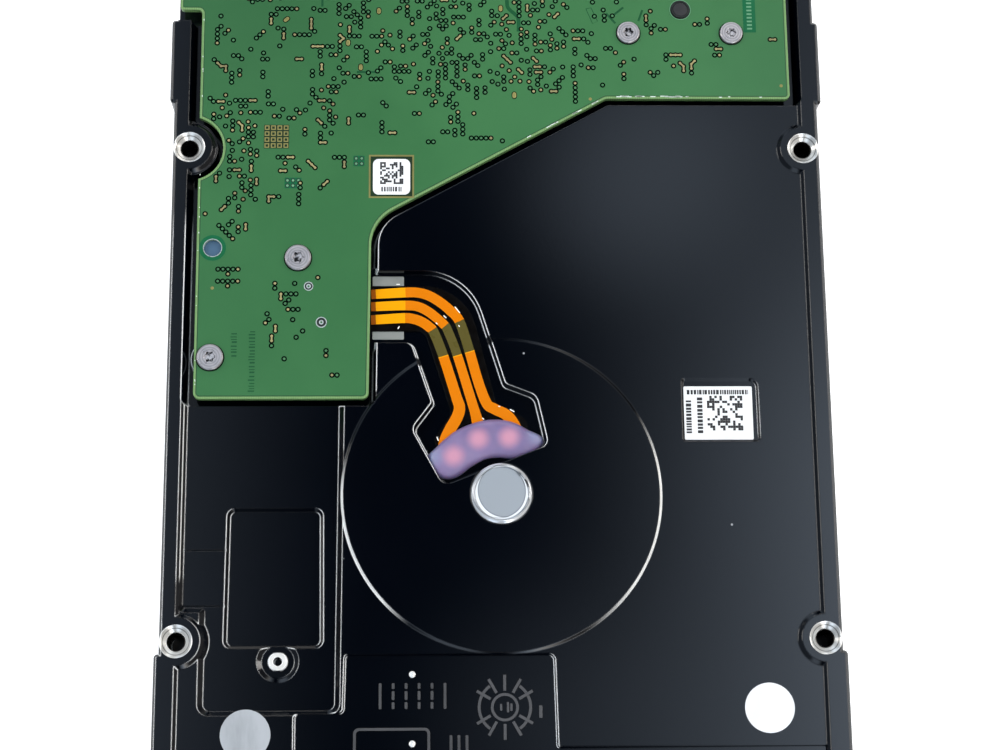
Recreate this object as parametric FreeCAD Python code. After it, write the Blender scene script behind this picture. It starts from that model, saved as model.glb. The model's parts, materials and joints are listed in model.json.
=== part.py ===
import FreeCAD, Part
import math
import os

from FreeCAD import Vector

# A 3.5-inch hard disk drive, lying on its top cover with the circuit board up.
# +Z is up, +Y points to the connector end, and the origin is on the cover's
# outer face, under the middle of the drive. All sizes are in millimetres.
# Outlines are corners (x, y, rounding radius), counterclockwise. Ranges are
# (low, high).

# Form factor
LENGTH = 147.0
WIDTH = 101.6
HEIGHT = 26.1
HALF_LENGTH = LENGTH / 2
PAD_PROUD = 0.7
BODY_HALF_WIDTH = WIDTH / 2 - PAD_PROUD
BODY_CORNER_R = (3.0, 2.0)
EDGE_BREAK = 0.4
BEYOND = 90.0

# Mounting holes, 6-32 UNC, at the tap drill's size
HOLE_R = 1.4
BOTTOM_HOLE_X = 47.625
BOTTOM_HOLE_YS = (HALF_LENGTH - 41.28, HALF_LENGTH - 41.28 - 76.2)
BOTTOM_HOLE_DEPTH = 6.5
SINK_R = 2.4
SINK_DEPTH = 0.9
SIDE_HOLE_YS = (HALF_LENGTH - 28.5, HALF_LENGTH - 28.5 - 101.6)
SIDE_HOLE_Z = HEIGHT - 6.35
SIDE_HOLE_DEPTH = 4.6
SIDE_SINK = 0.5

# Proud pads around the side holes, and the sunken fields between them
SIDE_PADS = ((39.6, 53.4), (-64.6, -45.8))
SIDE_PAD_LOW = 7.0
SIDE_PAD_CORNER_R = 0.6
FLANK_Z = (5.5, 20.5)
FLANK_MARGIN = 4.0
FLANK_DEPTH = 0.7
FLANK_CORNER_R = 2.0
END_FIELD_HALF_X = 41.0

# Levels, from the cover's face up to the mounting plane
PLATEAU_RISE = 0.35
COVER_T = 1.2
GASKET_T = 0.6
GASKET_TOP = COVER_T + GASKET_T
CAVITY_TOP = 20.6
BOARD_FLOOR = 22.3
BOARD_BOTTOM = 24.5
BOARD_TOP = 25.5
DECK = 25.5
MOTOR_FACE = 25.8
PANEL = 24.7
INNER_PANEL = 23.95
LOW_PANEL = 25.1
CHANNEL = 24.2
STIFFENER_TOP = CHANNEL + 0.1
FLEX_TOP = STIFFENER_TOP + 0.12

# Rails beside the deck, and their lobes around the mounting holes
RAIL_WALL = 0.55
LEFT_RAIL_X = -47.8
RIGHT_RAIL_X = 47.6
LEFT_RAIL_END_Y = 53.7
LOBE_R = 3.55
LOBE_MOAT_R = (4.75, 4.1)
LOBE_POCKET_R = 4.4

# Board
BOARD_SCREWS = ((-30.66, 14.5, 2.0), (-43.7, -1.2, 2.0), (20.8, 51.6, 1.8), (37.1, 51.6, 1.8))
BOARD_SCREW_HEAD = 0.55
BOARD_SCREW_R = 0.88
BOARD_SCREW_END = 21.5
BOARD_SCREW_HOLE_R = 1.1
BOARD_BOSS_R = 3.0
BOARD_PIN = (29.15, 55.6)
BOARD_PIN_HOLE_R = 1.05
TOOLING_HOLE = (-43.7, 16.1)
TOOLING_HOLE_R = 1.35
BOARD_NOTCH_R = 5.2
BOARD_OUTLINE = (
    (-46.1, -7.6, 1.0), (-19.8, -7.6, 1.0), (-19.5, 20.5, 6.5), (17.0, 40.6, 1.0),
    (46.0, 40.6, 0.8), (46.0, 70.0, 0.8), (-49.6, 70.0, 0.8), (-49.6, 55.3, 0.6),
    (-46.2, 55.3, 0.6),
)
BOARD_POCKET = (
    (-47.2, -8.1, 0.6), (-19.3, -8.1, 0.6), (-19.0, 20.2, 6.0), (17.2, 40.1, 1.0),
    (47.1, 40.1, 0.6), (47.1, 80.0, 0.0), (-60.0, 80.0, 0.0), (-60.0, 53.9, 0.0),
    (-47.2, 53.9, 0.6),
)
BOARD_POCKET_DRAFT = 0.6
INSULATOR = (
    (-44.0, -5.5, 1.0), (-29.0, -5.5, 1.0), (-29.0, 17.0, 2.0), (-14.0, 27.0, 2.0),
    (16.0, 43.5, 2.0), (43.0, 43.5, 1.0), (43.0, 61.5, 1.0), (-44.0, 61.5, 1.0),
)
INSULATOR_T = 0.6
CONTROLLER_CHIP = (-12.0, 44.0, 7.0, 1.3)
SUPPORT_CHIPS = ((-33.5, 44.0, 4.6, 1.1), (-34.5, 7.5, 4.0, 1.1))
CHIP_EDGE = 0.2
FLEX_CONTACT_YS = (4.3, 5.9, 7.5, 9.1)
FLEX_CONTACT_X = (-25.6, -24.2)
BOARD_LABEL = ((-19.3, 24.7, 0.9), (-13.55, 24.7, 0.9), (-13.55, 30.5, 0.9), (-19.3, 30.5, 0.9))
LABEL_T = 0.1

# Connector end
SATA_CENTRE_X = 20.68
SATA_HALF_LENGTH = 21.4
SATA_NOTCH_X = (-1.6, 43.0)
SATA_NOTCH_Y = 64.0
SATA_NOTCH_Z = 18.2
SATA_LOW = 19.2
SATA_BACK_Y = (64.6, 67.4)
SATA_TONGUE_END_Y = 72.6
SATA_SHROUD_END_Y = 73.3
SATA_TONGUE_Z = (21.5, 22.75)
SATA_DATA_X = (3.6, 13.6)
SATA_POWER_X = (17.2, 37.6)
SATA_KEY = 1.1
SATA_POST = 1.6
SATA_SHELF_T = 0.55
CONTACT_PITCH = 1.27
CONTACT_HALF_WIDTH = 0.4
CONTACT_END_Y = 71.9
CONTACT_T = 0.1
CONTACT_GROUPS = ((4.25, 7), (17.9, 15))

# Panels and recesses of the casting
LEFT_PANEL = (
    (-43.6, -54.0, 1.0), (-24.5, -54.0, 1.0), (-24.2, -8.0, 0.0), (-46.9, -8.0, 0.0),
    (-46.9, -39.0, 0.6), (-43.6, -39.0, 0.6),
)
LEFT_PANEL_DRAFT = 0.8
INNER_RECTANGLE = (
    (-40.4, -44.5, 0.8), (-26.7, -44.5, 0.8), (-26.9, -24.6, 0.8), (-40.2, -24.6, 0.8),
)
INNER_RECTANGLE_DRAFT = 0.5
LOWER_PANEL = (
    (-30.2, -80.0, 0.0), (60.0, -80.0, 0.0), (60.0, -59.7, 0.0), (7.8, -59.7, 0.5),
    (7.5, -46.2, 0.8), (-22.9, -46.2, 0.3), (-23.1, -54.6, 0.8), (-30.2, -54.6, 0.5),
)
LOWER_PANEL_DRAFT = 0.25
SCRIBE_YS = (-30.4, -38.7)
SCRIBE_X = (-47.4, -40.7)
SCRIBE_WIDTH = 0.16
SCRIBE_DEPTH = 0.15
SMALL_BOSS = (-32.85, -46.85)
SMALL_BOSS_R = 1.35
SMALL_BOSS_HOLE_R = 0.65
SMALL_BOSS_MOAT_R = (2.4, 3.1)
SMALL_BOSS_MOAT_DEPTH = 0.5
SMALL_BOSS_HOLE_DEPTH = 2.0
HOLE_SEALS = ((38.97, -54.1), (-37.3, -57.5))
SEAL_R = 3.65
SEAL_T = 0.12
SEALED_HOLE_R = 2.0
SEALED_HOLE_DEPTH = 2.5
CASTING_LABEL = ((27.8, -14.0, 0.2), (38.2, -14.0, 0.2), (38.2, -5.75, 0.2), (27.8, -5.75, 0.2))
LABEL_RECESS = ((27.8, -14.0, 0.2), (38.9, -14.0, 0.2), (38.8, -4.9, 1.0), (27.8, -4.9, 0.2))
LABEL_RECESS_DEPTH = 0.3
LABEL_RECESS_DRAFT = 0.35

# Flex channel, from the board's edge to the motor
CHANNEL_OUTLINE = (
    (-8.4, -20.6, 1.2), (6.8, -14.6, 1.0), (5.2, -7.4, 1.6), (0.55, -5.6, 1.2),
    (-5.0, 12.2, 9.0), (-27.0, 12.2, 0.4), (-27.0, 1.4, 0.4), (-13.2, 1.4, 1.6),
    (-9.9, -8.3, 1.0), (-12.9, -12.3, 1.2),
)
CHANNEL_DRAFT = 0.35
SHELF = ((-28.0, 0.4, 0.0), (-10.0, 0.4, 0.0), (-10.0, 13.2, 0.0), (-28.0, 13.2, 0.0))
FLEX_OUTLINE = (
    (-8.9, -17.9, 0.6), (3.9, -14.9, 0.8), (4.1, -10.6, 1.6), (-0.55, -8.3, 1.6),
    (-5.15, 10.35, 8.4), (-26.4, 10.35, 0.3), (-26.4, 3.15, 0.3), (-11.3, 3.15, 1.4),
    (-7.3, -9.6, 1.2), (-9.9, -13.6, 1.2),
)
STIFFENER = ((-19.3, 1.9, 0.2), (-14.5, 1.9, 0.2), (-14.5, 11.9, 0.2), (-19.3, 11.9, 0.2))
GLUE_OUTLINE = (
    (-7.4, -20.2, 2.6), (-3.4, -17.5, 2.0), (4.4, -17.7, 2.4), (7.2, -13.9, 1.6),
    (2.4, -10.3, 4.0), (-5.4, -11.6, 5.0), (-12.1, -16.3, 2.2),
)
GLUE_SHOULDER = CHANNEL + 1.0
GLUE_CROWN = CHANNEL + 1.5

# Spindle axis: shaft, bearing, hub, clamp and motor
SPINDLE = (0.1, -22.2)
SHAFT_R = 2.0
SLEEVE_R = 5.2
SLEEVE_Z = (4.6, 19.2)
RUNNING_GAP = 0.03
AXIS_TAP_R = 0.8
AXIS_TAP_END = 6.0
MOTOR_DISC_R = 23.95
MOTOR_CHAMFER = 0.3
MOTOR_CAP_R = 4.6
MOTOR_CAP_EDGE = 0.25
MOTOR_CAP_Z = (25.2, 25.95)
PLATTER_R = 47.5
PLATTER_T = 1.27
PLATTER_GAP = 2.1
PLATTER_COUNT = 4
STACK_LOW = 4.4
STACK_HIGH = STACK_LOW + PLATTER_COUNT * PLATTER_T + (PLATTER_COUNT - 1) * PLATTER_GAP
HUB_R = 12.45
HUB_LOW = 4.2
HUB_FLANGE_R = 16.5
HUB_FLANGE_TOP = 20.0
HUB_CUP_CEILING = 16.4
HUB_NECK_LOW = 15.2
HUB_NECK_R = SLEEVE_R + 0.9
CLAMP_R = 15.5
CLAMP_LOW = 3.2
CLAMP_SCREW_RING_R = 8.8
CLAMP_SCREW_COUNT = 6
YOKE_RING_R = (14.2, 15.3)
YOKE_RING_Z = (16.6, 19.8)
ROTOR_MAGNET_R = (12.8, 14.2)
ROTOR_MAGNET_Z = (16.7, 19.6)
STATOR_BORE_R = 7.0
STATOR_RIM_R = 8.4
STATOR_R = 12.4
STATOR_Z = (17.1, 19.1)
STATOR_SEAT_LOW = 16.9
TEETH = 9
TOOTH_HALF_WIDTH = 0.9
SHOE_HALF_ANGLE = 16.0
WINDING_X = (8.7, 11.2)
WINDING_HALF_WIDTH = 1.9
WINDING_Z = (16.6, 19.6)

# Actuator axis: block, arms, springs, coil and flex
PIVOT = (-20.0, 31.0)
PARK_ANGLE = -14.5
COIL_ANGLE = PARK_ANGLE + 140.0
PIVOT_SHAFT_R = 3.0
PIVOT_SLEEVE_R = 6.0
PIVOT_NOSE_R = 1.6
BLOCK_R = 8.5
BLOCK_Z = (2.8, 17.4)
ARM_T = 0.9
ARM = ((0.0, -7.0, 0.0), (34.0, -2.6, 1.0), (34.0, 2.6, 1.0), (0.0, 7.0, 0.0))
ARM_WINDOW = ((13.0, -2.6, 1.0), (28.0, -1.3, 0.8), (28.0, 1.3, 0.8), (13.0, 2.6, 1.0))
SPRING_LEAF = (
    (30.0, -2.2, 0.4), (36.0, -2.2, 0.4), (49.6, -0.6, 0.2), (52.4, -0.3, 0.2),
    (52.4, 0.3, 0.2), (49.6, 0.6, 0.2), (36.0, 2.2, 0.4), (30.0, 2.2, 0.4),
)
SPRING_BASE = ((29.8, -2.2, 0.4), (33.8, -2.2, 0.4), (33.8, 2.2, 0.4), (29.8, 2.2, 0.4))
SPRING_OFFSET = (0.35, 0.5)
HEAD_RADIUS = 49.0
HEAD_HALF_LENGTH = 0.6
HEAD_HALF_WIDTH = 0.5
FLY_HEIGHT = 0.05
COIL_Z = 10.1
COIL_T = 3.0
COIL_LEVELS = (COIL_Z - COIL_T / 2, COIL_Z + COIL_T / 2)
COIL_OUTLINE = ((13.0, -5.0, 2.2), (27.2, -8.2, 3.2), (27.2, 8.2, 3.2), (13.0, 5.0, 2.2))
COIL_WINDING = 2.1
COIL_FRAME_WALL = 1.3
COIL_NECK_X = 7.2
COIL_NECK_HALF_WIDTH = 5.0
PREAMP_ANGLE = 63.0
FLEX_FILM_T = 0.15
FLEX_FILM_Z = (5.5, 15.0)
FLEX_START_ANGLE = 36.0
FLEX_BOW = (-5.2, 40.6)
FLEX_END = (0.9, 38.4)
BRACKET_PLATE = ((0.2, 36.0, 0.8), (12.5, 36.0, 0.8), (12.5, 42.4, 0.8), (0.2, 42.4, 0.8))
BRACKET_PLATE_LOW = 19.6
HEADER_X = (2.8, 10.7)
HEADER_Y = (37.3, 40.7)
HEADER_LOW = 18.2
HEADER_WINDOW = (1.0, 11.0, 37.0, 41.0)

# Voice coil magnets and yokes
YOKE_INNER_R = 16.6
YOKE_OUTER_R = 29.2
YOKE_DIRECTIONS = (52.0, 164.0)
YOKE_BOUNDS = (-43.8, 20.0, 20.0, 61.6)
YOKE_T = 2.6
MAGNET_T = 2.4
MAGNET_GAP = 4.4
MAGNET_DIRECTIONS = (76.0, 141.0)
MAGNET_BOUNDS = (-43.4, 20.0, 20.0, 61.2)
MAGNET_LOW = COIL_Z - MAGNET_GAP / 2
MAGNET_HIGH = COIL_Z + MAGNET_GAP / 2
LOWER_YOKE = (MAGNET_LOW - MAGNET_T - YOKE_T, MAGNET_LOW - MAGNET_T)
UPPER_YOKE = (MAGNET_HIGH + MAGNET_T, MAGNET_HIGH + MAGNET_T + YOKE_T)
POST_R = 1.8
POST_BORE_R = 1.1
POST_RING_R = 20.0
POST_DIRECTIONS = (57.5, 158.5)
STOP_R = 1.2
STOP_SLEEVE_T = 0.5
STOP_Z = (6.5, CAVITY_TOP)
STOP_SLEEVE_Z = (8.2, 12.0)
STOP_RING_R = 13.6
STOP_DIRECTIONS = (54.0, 163.0)

# Latch beside the coil, and the ramp beside the disks
LATCH_PIN = (-38.2, 23.5)
LATCH_ANGLE = 98.0
LATCH_Z = (8.6, 11.6)
LATCH_ARM = (
    (-1.4, -1.2, 1.0), (7.2, -0.8, 0.5), (7.2, 1.4, 0.4), (5.8, 1.4, 0.3),
    (5.6, 0.7, 0.3), (-1.4, 1.2, 1.0),
)
LATCH_HUB_R = 2.0
LATCH_BORE_R = 0.95
RAMP_TAB = 51.6
RAMP_SIDES = (-2.5, 3.4)
RAMP_LEDGE = (0.12, 0.3)
RAMP_BACK = (RAMP_TAB + 1.4, RAMP_TAB + 3.4)
RAMP_BACK_Z = (2.8, 19.0)
RAMP_FOOT_LOW = 15.8
RAMP_SCREW_ANGLE = PARK_ANGLE + 4.4
RAMP_SCREW_RADIUS = RAMP_TAB + 5.9

# Room inside the casting for the disks and the actuator
CAVITY_R = 48.1
ACTUATOR_ROOM = ((-44.4, -22.2, 0.0), (44.4, -22.2, 0.0), (44.4, 62.0, 4.0), (-44.4, 62.0, 4.0))
COVER_SEAT = 1.4
GASKET_EDGES = (0.3, 1.3)

# Cover
COVER_PLATE = ((-49.6, -73.0, 5.0), (49.6, -73.0, 5.0), (49.6, 73.0, 3.0), (-49.6, 73.0, 3.0))
COVER_PLATEAU = ((-43.2, -66.5, 9.0), (43.2, -66.5, 9.0), (43.2, 66.5, 6.0), (-43.2, 66.5, 6.0))
COVER_SCREWS = (
    (-46.3, 69.8), (46.3, 69.8), (-46.3, -69.8),
    (46.3, -69.8), (-47.2, 15.0), (47.2, 15.0),
)
COVER_SCREW_HEAD = (0.02, 0.35)
COVER_SCREW_END = 6.5
COVER_TAP_END = 7.0
COVER_LABEL = ((-34.0, -52.0, 2.0), (34.0, -52.0, 2.0), (34.0, 48.0, 2.0), (-34.0, 48.0, 2.0))
COVER_LABEL_Z = (0.02, 0.12)
LABEL_WINDOW_R = 3.4
AXIS_SCREW_HEAD = (0.1, 0.6)
AXIS_SCREW_SINK_R = 2.7
BREATHER = (16.0, 57.0)
FILTER_R = (1.0, 4.5)
FILTER_TOP = 3.0
AIR_FILTER = ((36.0, 27.0, 1.5), (43.6, 27.0, 1.5), (43.6, 31.0, 1.5), (36.0, 31.0, 1.5))
AIR_FILTER_Z = (3.5, 17.0)
DESICCANT = ((30.0, 48.0, 2.0), (43.4, 48.0, 2.0), (43.4, 60.6, 2.0), (30.0, 60.6, 2.0))
DESICCANT_LOW = 9.0

# Screws: the socket's and the rim's share of the head
SOCKET_SHARE = 0.42
SOCKET_DEPTH_SHARE = 0.75
SCREW_EDGE = 0.12


def length_and_direction(start, end):
    dx = end[0] - start[0]
    dy = end[1] - start[1]
    length = math.hypot(dx, dy)
    return length, (dx / length, dy / length)


def outline(corners, z):
    """A closed wire through rounded corners, each (x, y, radius)."""
    count = len(corners)
    stretches = []
    for i in range(count):
        x, y, radius = corners[i]
        back = length_and_direction((x, y), corners[i - 1])[1]
        ahead = length_and_direction((x, y), corners[(i + 1) % count])[1]
        if radius <= 0:
            stretches.append(((x, y), None, (x, y)))
            continue
        dot = back[0] * ahead[0] + back[1] * ahead[1]
        half = math.acos(max(-1.0, min(1.0, dot))) / 2
        reach = radius / math.tan(half)
        first = (x + back[0] * reach, y + back[1] * reach)
        last = (x + ahead[0] * reach, y + ahead[1] * reach)
        bisector = (back[0] + ahead[0], back[1] + ahead[1])
        size = math.hypot(*bisector)
        inward = radius / math.sin(half) - radius
        middle = (x + bisector[0] / size * inward, y + bisector[1] / size * inward)
        stretches.append((first, middle, last))
    edges = []
    for i in range(count):
        first, middle, last = stretches[i]
        if middle:
            points = [Vector(p[0], p[1], z) for p in (first, middle, last)]
            edges.append(Part.Arc(*points).toShape())
        following = stretches[(i + 1) % count][0]
        edges.append(Part.makeLine(Vector(last[0], last[1], z), Vector(following[0], following[1], z)))
    return Part.Wire(edges)


def grown(corners, distance):
    """The outline moved outward by a distance, with its corners' radii to match."""
    count = len(corners)
    smallest_r = 0.05
    result = []
    for i in range(count):
        x, y, radius = corners[i]
        before = length_and_direction(corners[i - 1], (x, y))[1]
        after = length_and_direction((x, y), corners[(i + 1) % count])[1]
        cross = before[0] * after[1] - before[1] * after[0]
        dot = before[0] * after[0] + before[1] * after[1]
        scale = distance / (1 + dot)
        new_x = x + (before[1] + after[1]) * scale
        new_y = y - (before[0] + after[0]) * scale
        turned_r = radius + distance if cross > 0 else radius - distance
        result.append((new_x, new_y, max(turned_r, smallest_r) if radius > 0 else 0.0))
    return result


def slab(corners, z_low, z_high):
    return Part.Face(outline(corners, z_low)).extrude(Vector(0, 0, z_high - z_low))


def drafted(corners, z_low, z_high, draft):
    """A slab whose walls lean out by draft on the way up, or in where it is negative."""
    low = outline(corners, z_low)
    high = outline(grown(corners, draft), z_high)
    return Part.makeLoft([low, high], True, True)


def box(x_low, x_high, y_low, y_high, z_low, z_high):
    size = (x_high - x_low, y_high - y_low, z_high - z_low)
    return Part.makeBox(*size, Vector(x_low, y_low, z_low))


def cylinder(centre, radius, z_low, z_high):
    return Part.makeCylinder(radius, z_high - z_low, Vector(centre[0], centre[1], z_low))


def cone(centre, radius_low, radius_high, z_low, z_high):
    base = Vector(centre[0], centre[1], z_low)
    return Part.makeCone(radius_low, radius_high, z_high - z_low, base)


def ring(centre, outer, inner, z_low, z_high):
    return cylinder(centre, outer, z_low, z_high).cut(cylinder(centre, inner, z_low, z_high))


def turned(profile, centre):
    """A solid of revolution about a vertical axis, from (radius, z) points."""
    points = [Vector(centre[0] + r, centre[1], z) for r, z in profile]
    face = Part.Face(Part.makePolygon(points + points[:1]))
    return face.revolve(Vector(centre[0], centre[1], 0), Vector(0, 0, 1), 360)


def polar(centre, radius, degrees):
    angle = math.radians(degrees)
    return (centre[0] + radius * math.cos(angle), centre[1] + radius * math.sin(angle))


def sector(centre, inner, outer, first, last, z_low, z_high):
    """A fan-shaped plate between two radii and two directions in degrees."""
    middle = (first + last) / 2
    corners = [
        polar(centre, radius, direction)
        for radius, direction in (
            (outer, first), (outer, middle), (outer, last),
            (inner, last), (inner, middle), (inner, first),
        )
    ]
    v = [Vector(x, y, z_low) for x, y in corners]
    wire = Part.Wire([
        Part.Arc(v[0], v[1], v[2]).toShape(),
        Part.makeLine(v[2], v[3]),
        Part.Arc(v[3], v[4], v[5]).toShape(),
        Part.makeLine(v[5], v[0]),
    ])
    return Part.Face(wire).extrude(Vector(0, 0, z_high - z_low))


def placed(shape, centre, degrees):
    """A shape drawn along +X at the origin, turned and moved to a centre."""
    copy = shape.copy()
    copy.rotate(Vector(0, 0, 0), Vector(0, 0, 1), degrees)
    copy.translate(Vector(centre[0], centre[1], 0))
    return copy


def fused(shapes):
    return shapes[0].multiFuse(shapes[1:]).removeSplitter()


def rectangle(x_low, x_high, y_low, y_high, radius=0.0):
    """A rectangle's corners, for an outline."""
    return (
        (x_low, y_low, radius), (x_high, y_low, radius),
        (x_high, y_high, radius), (x_low, y_high, radius),
    )


def mounting_holes():
    return [(side * BOTTOM_HOLE_X, y) for side in (-1, 1) for y in BOTTOM_HOLE_YS]


def cavity(extra, z_low, z_high):
    """The disk well and the actuator's room as one solid, larger all round by extra."""
    room = slab(grown(ACTUATOR_ROOM, extra), z_low, z_high)
    return cylinder(SPINDLE, CAVITY_R + extra, z_low, z_high).fuse(room)


def screw(centre, head_r, head_z, shank_r, shank_end):
    """A screw with a six-lobe socket and a broken rim. Its shank runs from the head to an end level."""
    head_low, head_high = head_z
    head_up = shank_end < head_low
    height = head_high - head_low
    if head_up:
        profile = ((0.0, head_low), (head_r, head_low), (head_r, head_high - SCREW_EDGE),
                   (head_r - SCREW_EDGE, head_high), (0.0, head_high))
        socket = (head_high - height * SOCKET_DEPTH_SHARE, head_high)
        shank = cylinder(centre, shank_r, shank_end, head_low)
    else:
        profile = ((0.0, head_low), (head_r - SCREW_EDGE, head_low), (head_r, head_low + SCREW_EDGE),
                   (head_r, head_high), (0.0, head_high))
        socket = (head_low, head_low + height * SOCKET_DEPTH_SHARE)
        shank = cylinder(centre, shank_r, head_high, shank_end)
    socket_r = head_r * SOCKET_SHARE
    lobe_r = socket_r * 0.26
    ring_r = socket_r * 0.8
    lobes = [cylinder(centre, ring_r, *socket)]
    lobes += [cylinder(polar(centre, ring_r, 60 * i), lobe_r, *socket) for i in range(6)]
    return turned(profile, centre).fuse(shank).removeSplitter().cut(fused(lobes))


def broken_block(corners, z_low, z_high):
    """A block whose top edges are broken."""
    shoulder = z_high - EDGE_BREAK
    return [slab(corners, z_low, shoulder), drafted(corners, shoulder, z_high, -EDGE_BREAK)]


def sunken_fields():
    """Tools that sink the flanks between the side pads, and the end wall, by a shallow depth."""
    flank_y = (SIDE_PADS[1][1] + FLANK_MARGIN, SIDE_PADS[0][0] - FLANK_MARGIN)
    flank = rectangle(*flank_y, *FLANK_Z, FLANK_CORNER_R)
    end = rectangle(-END_FIELD_HALF_X, END_FIELD_HALF_X, *FLANK_Z, FLANK_CORNER_R)
    overshoot = 0.2
    draft = 0.5
    tools = []
    for corners, reach, turn in (
        (flank, BODY_HALF_WIDTH, 90), (flank, BODY_HALF_WIDTH, -90), (end, HALF_LENGTH, 0),
    ):
        tool = drafted(corners, 0.0, FLANK_DEPTH + overshoot, draft)
        tool.rotate(Vector(0, 0, 0), Vector(1, 0, 0), 90)
        if turn == -90:
            tool = tool.mirror(Vector(0, 0, 0), Vector(1, 0, 0))
        tool.translate(Vector(0, FLANK_DEPTH - reach, 0))
        tool.rotate(Vector(0, 0, 0), Vector(0, 0, 1), turn)
        tools.append(tool)
    return tools


def casting_envelope():
    """The casting's outside: a block with proud pads at the side holes and sunken fields."""
    near_r, far_r = BODY_CORNER_R
    body = (
        (-BODY_HALF_WIDTH, -HALF_LENGTH, near_r), (BODY_HALF_WIDTH, -HALF_LENGTH, near_r),
        (BODY_HALF_WIDTH, HALF_LENGTH, far_r), (-BODY_HALF_WIDTH, HALF_LENGTH, far_r),
    )
    shapes = broken_block(body, COVER_T, HEIGHT)
    for low, high in SIDE_PADS:
        pad = rectangle(-WIDTH / 2, WIDTH / 2, low, high, SIDE_PAD_CORNER_R)
        shapes += broken_block(pad, SIDE_PAD_LOW, HEIGHT)
    return fused(shapes).cut(sunken_fields())


def casting_rails(envelope):
    """The rails and their lobes above the deck, kept inside the envelope."""
    right = rectangle(RIGHT_RAIL_X, BEYOND, -BEYOND, BEYOND)
    left = rectangle(-BEYOND, LEFT_RAIL_X, -BEYOND, LEFT_RAIL_END_Y)
    rails = [drafted(grown(rail, RAIL_WALL), DECK, HEIGHT, -RAIL_WALL) for rail in (right, left)]
    lobes = [cone(hole, LOBE_R + RAIL_WALL, LOBE_R, DECK, HEIGHT) for hole in mounting_holes()]
    return fused(rails + lobes).common(envelope)


def casting_panels():
    """The shallow panels that are cut before the motor's disc is added."""
    moats = [cone(hole, *LOBE_MOAT_R, PANEL, DECK) for hole in mounting_holes()]
    left = drafted(LEFT_PANEL, PANEL, DECK, LEFT_PANEL_DRAFT).cut(moats)
    inner = drafted(INNER_RECTANGLE, INNER_PANEL, PANEL, INNER_RECTANGLE_DRAFT)
    lower = drafted(LOWER_PANEL, LOW_PANEL, DECK, LOWER_PANEL_DRAFT)
    moat = cone(SMALL_BOSS, *SMALL_BOSS_MOAT_R, PANEL - SMALL_BOSS_MOAT_DEPTH, PANEL)
    boss = cylinder(SMALL_BOSS, SMALL_BOSS_R, PANEL - 2 * SMALL_BOSS_MOAT_DEPTH, PANEL - 0.1)
    half = SCRIBE_WIDTH / 2
    scribes = [box(*SCRIBE_X, y - half, y + half, PANEL - SCRIBE_DEPTH, PANEL) for y in SCRIBE_YS]
    return [left, inner, lower, moat.cut(boss)] + scribes


def motor_disc():
    """The round, slightly raised face that carries the motor."""
    inner_r = MOTOR_DISC_R - MOTOR_CHAMFER
    return [
        cylinder(SPINDLE, MOTOR_DISC_R, BOARD_FLOOR, DECK),
        cone(SPINDLE, MOTOR_DISC_R, inner_r, DECK, MOTOR_FACE),
    ]


def flex_channel():
    return drafted(CHANNEL_OUTLINE, CHANNEL, MOTOR_FACE, CHANNEL_DRAFT)


def casting_pockets():
    """The board's pocket, the flex channel, the label's recess and the connector's notch."""
    top = HEIGHT + 1
    below = BOARD_FLOOR - 1
    lobes = [cylinder(hole, LOBE_POCKET_R, below, top) for hole in mounting_holes()]
    shelf = slab(SHELF, below, CHANNEL)
    bosses = [cylinder((x, y), BOARD_BOSS_R, below, BOARD_BOTTOM) for x, y, _ in BOARD_SCREWS]
    board = fused([
        drafted(BOARD_POCKET, BOARD_FLOOR, DECK, BOARD_POCKET_DRAFT),
        slab(grown(BOARD_POCKET, BOARD_POCKET_DRAFT), DECK, top),
    ])
    board = board.cut(lobes + [shelf] + bosses)
    label = drafted(LABEL_RECESS, DECK - LABEL_RECESS_DEPTH, DECK, LABEL_RECESS_DRAFT)
    sata = box(*SATA_NOTCH_X, SATA_NOTCH_Y, BEYOND, SATA_NOTCH_Z, top)
    return [board, flex_channel(), label, sata]


def side_holes():
    """The tapped holes in both flanks, with broken mouths."""
    holes = []
    for side in (-1, 1):
        for y in SIDE_HOLE_YS:
            mouth = Vector(side * WIDTH / 2, y, SIDE_HOLE_Z)
            inward = Vector(-side, 0, 0)
            holes.append(Part.makeCylinder(HOLE_R, SIDE_HOLE_DEPTH, mouth, inward))
            holes.append(Part.makeCone(HOLE_R + SIDE_SINK, HOLE_R, SIDE_SINK, mouth, inward))
    return holes


def casting_holes():
    holes = side_holes()
    for hole in mounting_holes():
        holes.append(cylinder(hole, HOLE_R, HEIGHT - BOTTOM_HOLE_DEPTH, HEIGHT + 1))
        holes.append(cone(hole, HOLE_R, SINK_R, HEIGHT - SINK_DEPTH, HEIGHT))
    for x, y, _ in BOARD_SCREWS:
        holes.append(cylinder((x, y), BOARD_SCREW_R + 0.02, BOARD_SCREW_END - 0.1, BOARD_BOTTOM))
    for hole in COVER_SCREWS:
        holes.append(cylinder(hole, 1.0, COVER_T, COVER_TAP_END))
    for seal in HOLE_SEALS:
        holes.append(cylinder(seal, SEALED_HOLE_R, DECK - SEALED_HOLE_DEPTH, DECK + 1))
    holes.append(cylinder(SMALL_BOSS, SMALL_BOSS_HOLE_R, PANEL - SMALL_BOSS_HOLE_DEPTH, PANEL + 1))
    holes.append(cylinder(SPINDLE, SHAFT_R, CAVITY_TOP - 1, MOTOR_FACE + 1))
    holes.append(cylinder(SPINDLE, MOTOR_CAP_R + 0.02, MOTOR_CAP_Z[0], MOTOR_FACE + 1))
    holes.append(cylinder(PIVOT, PIVOT_NOSE_R, CAVITY_TOP - 1, CAVITY_TOP + 1.2))
    holes.append(cylinder(BOARD_PIN, 0.8, BOARD_FLOOR - 0.8, BOARD_FLOOR + 1))
    holes.append(box(*HEADER_WINDOW, CAVITY_TOP - 1, BOARD_FLOOR + 1))
    return holes


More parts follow.
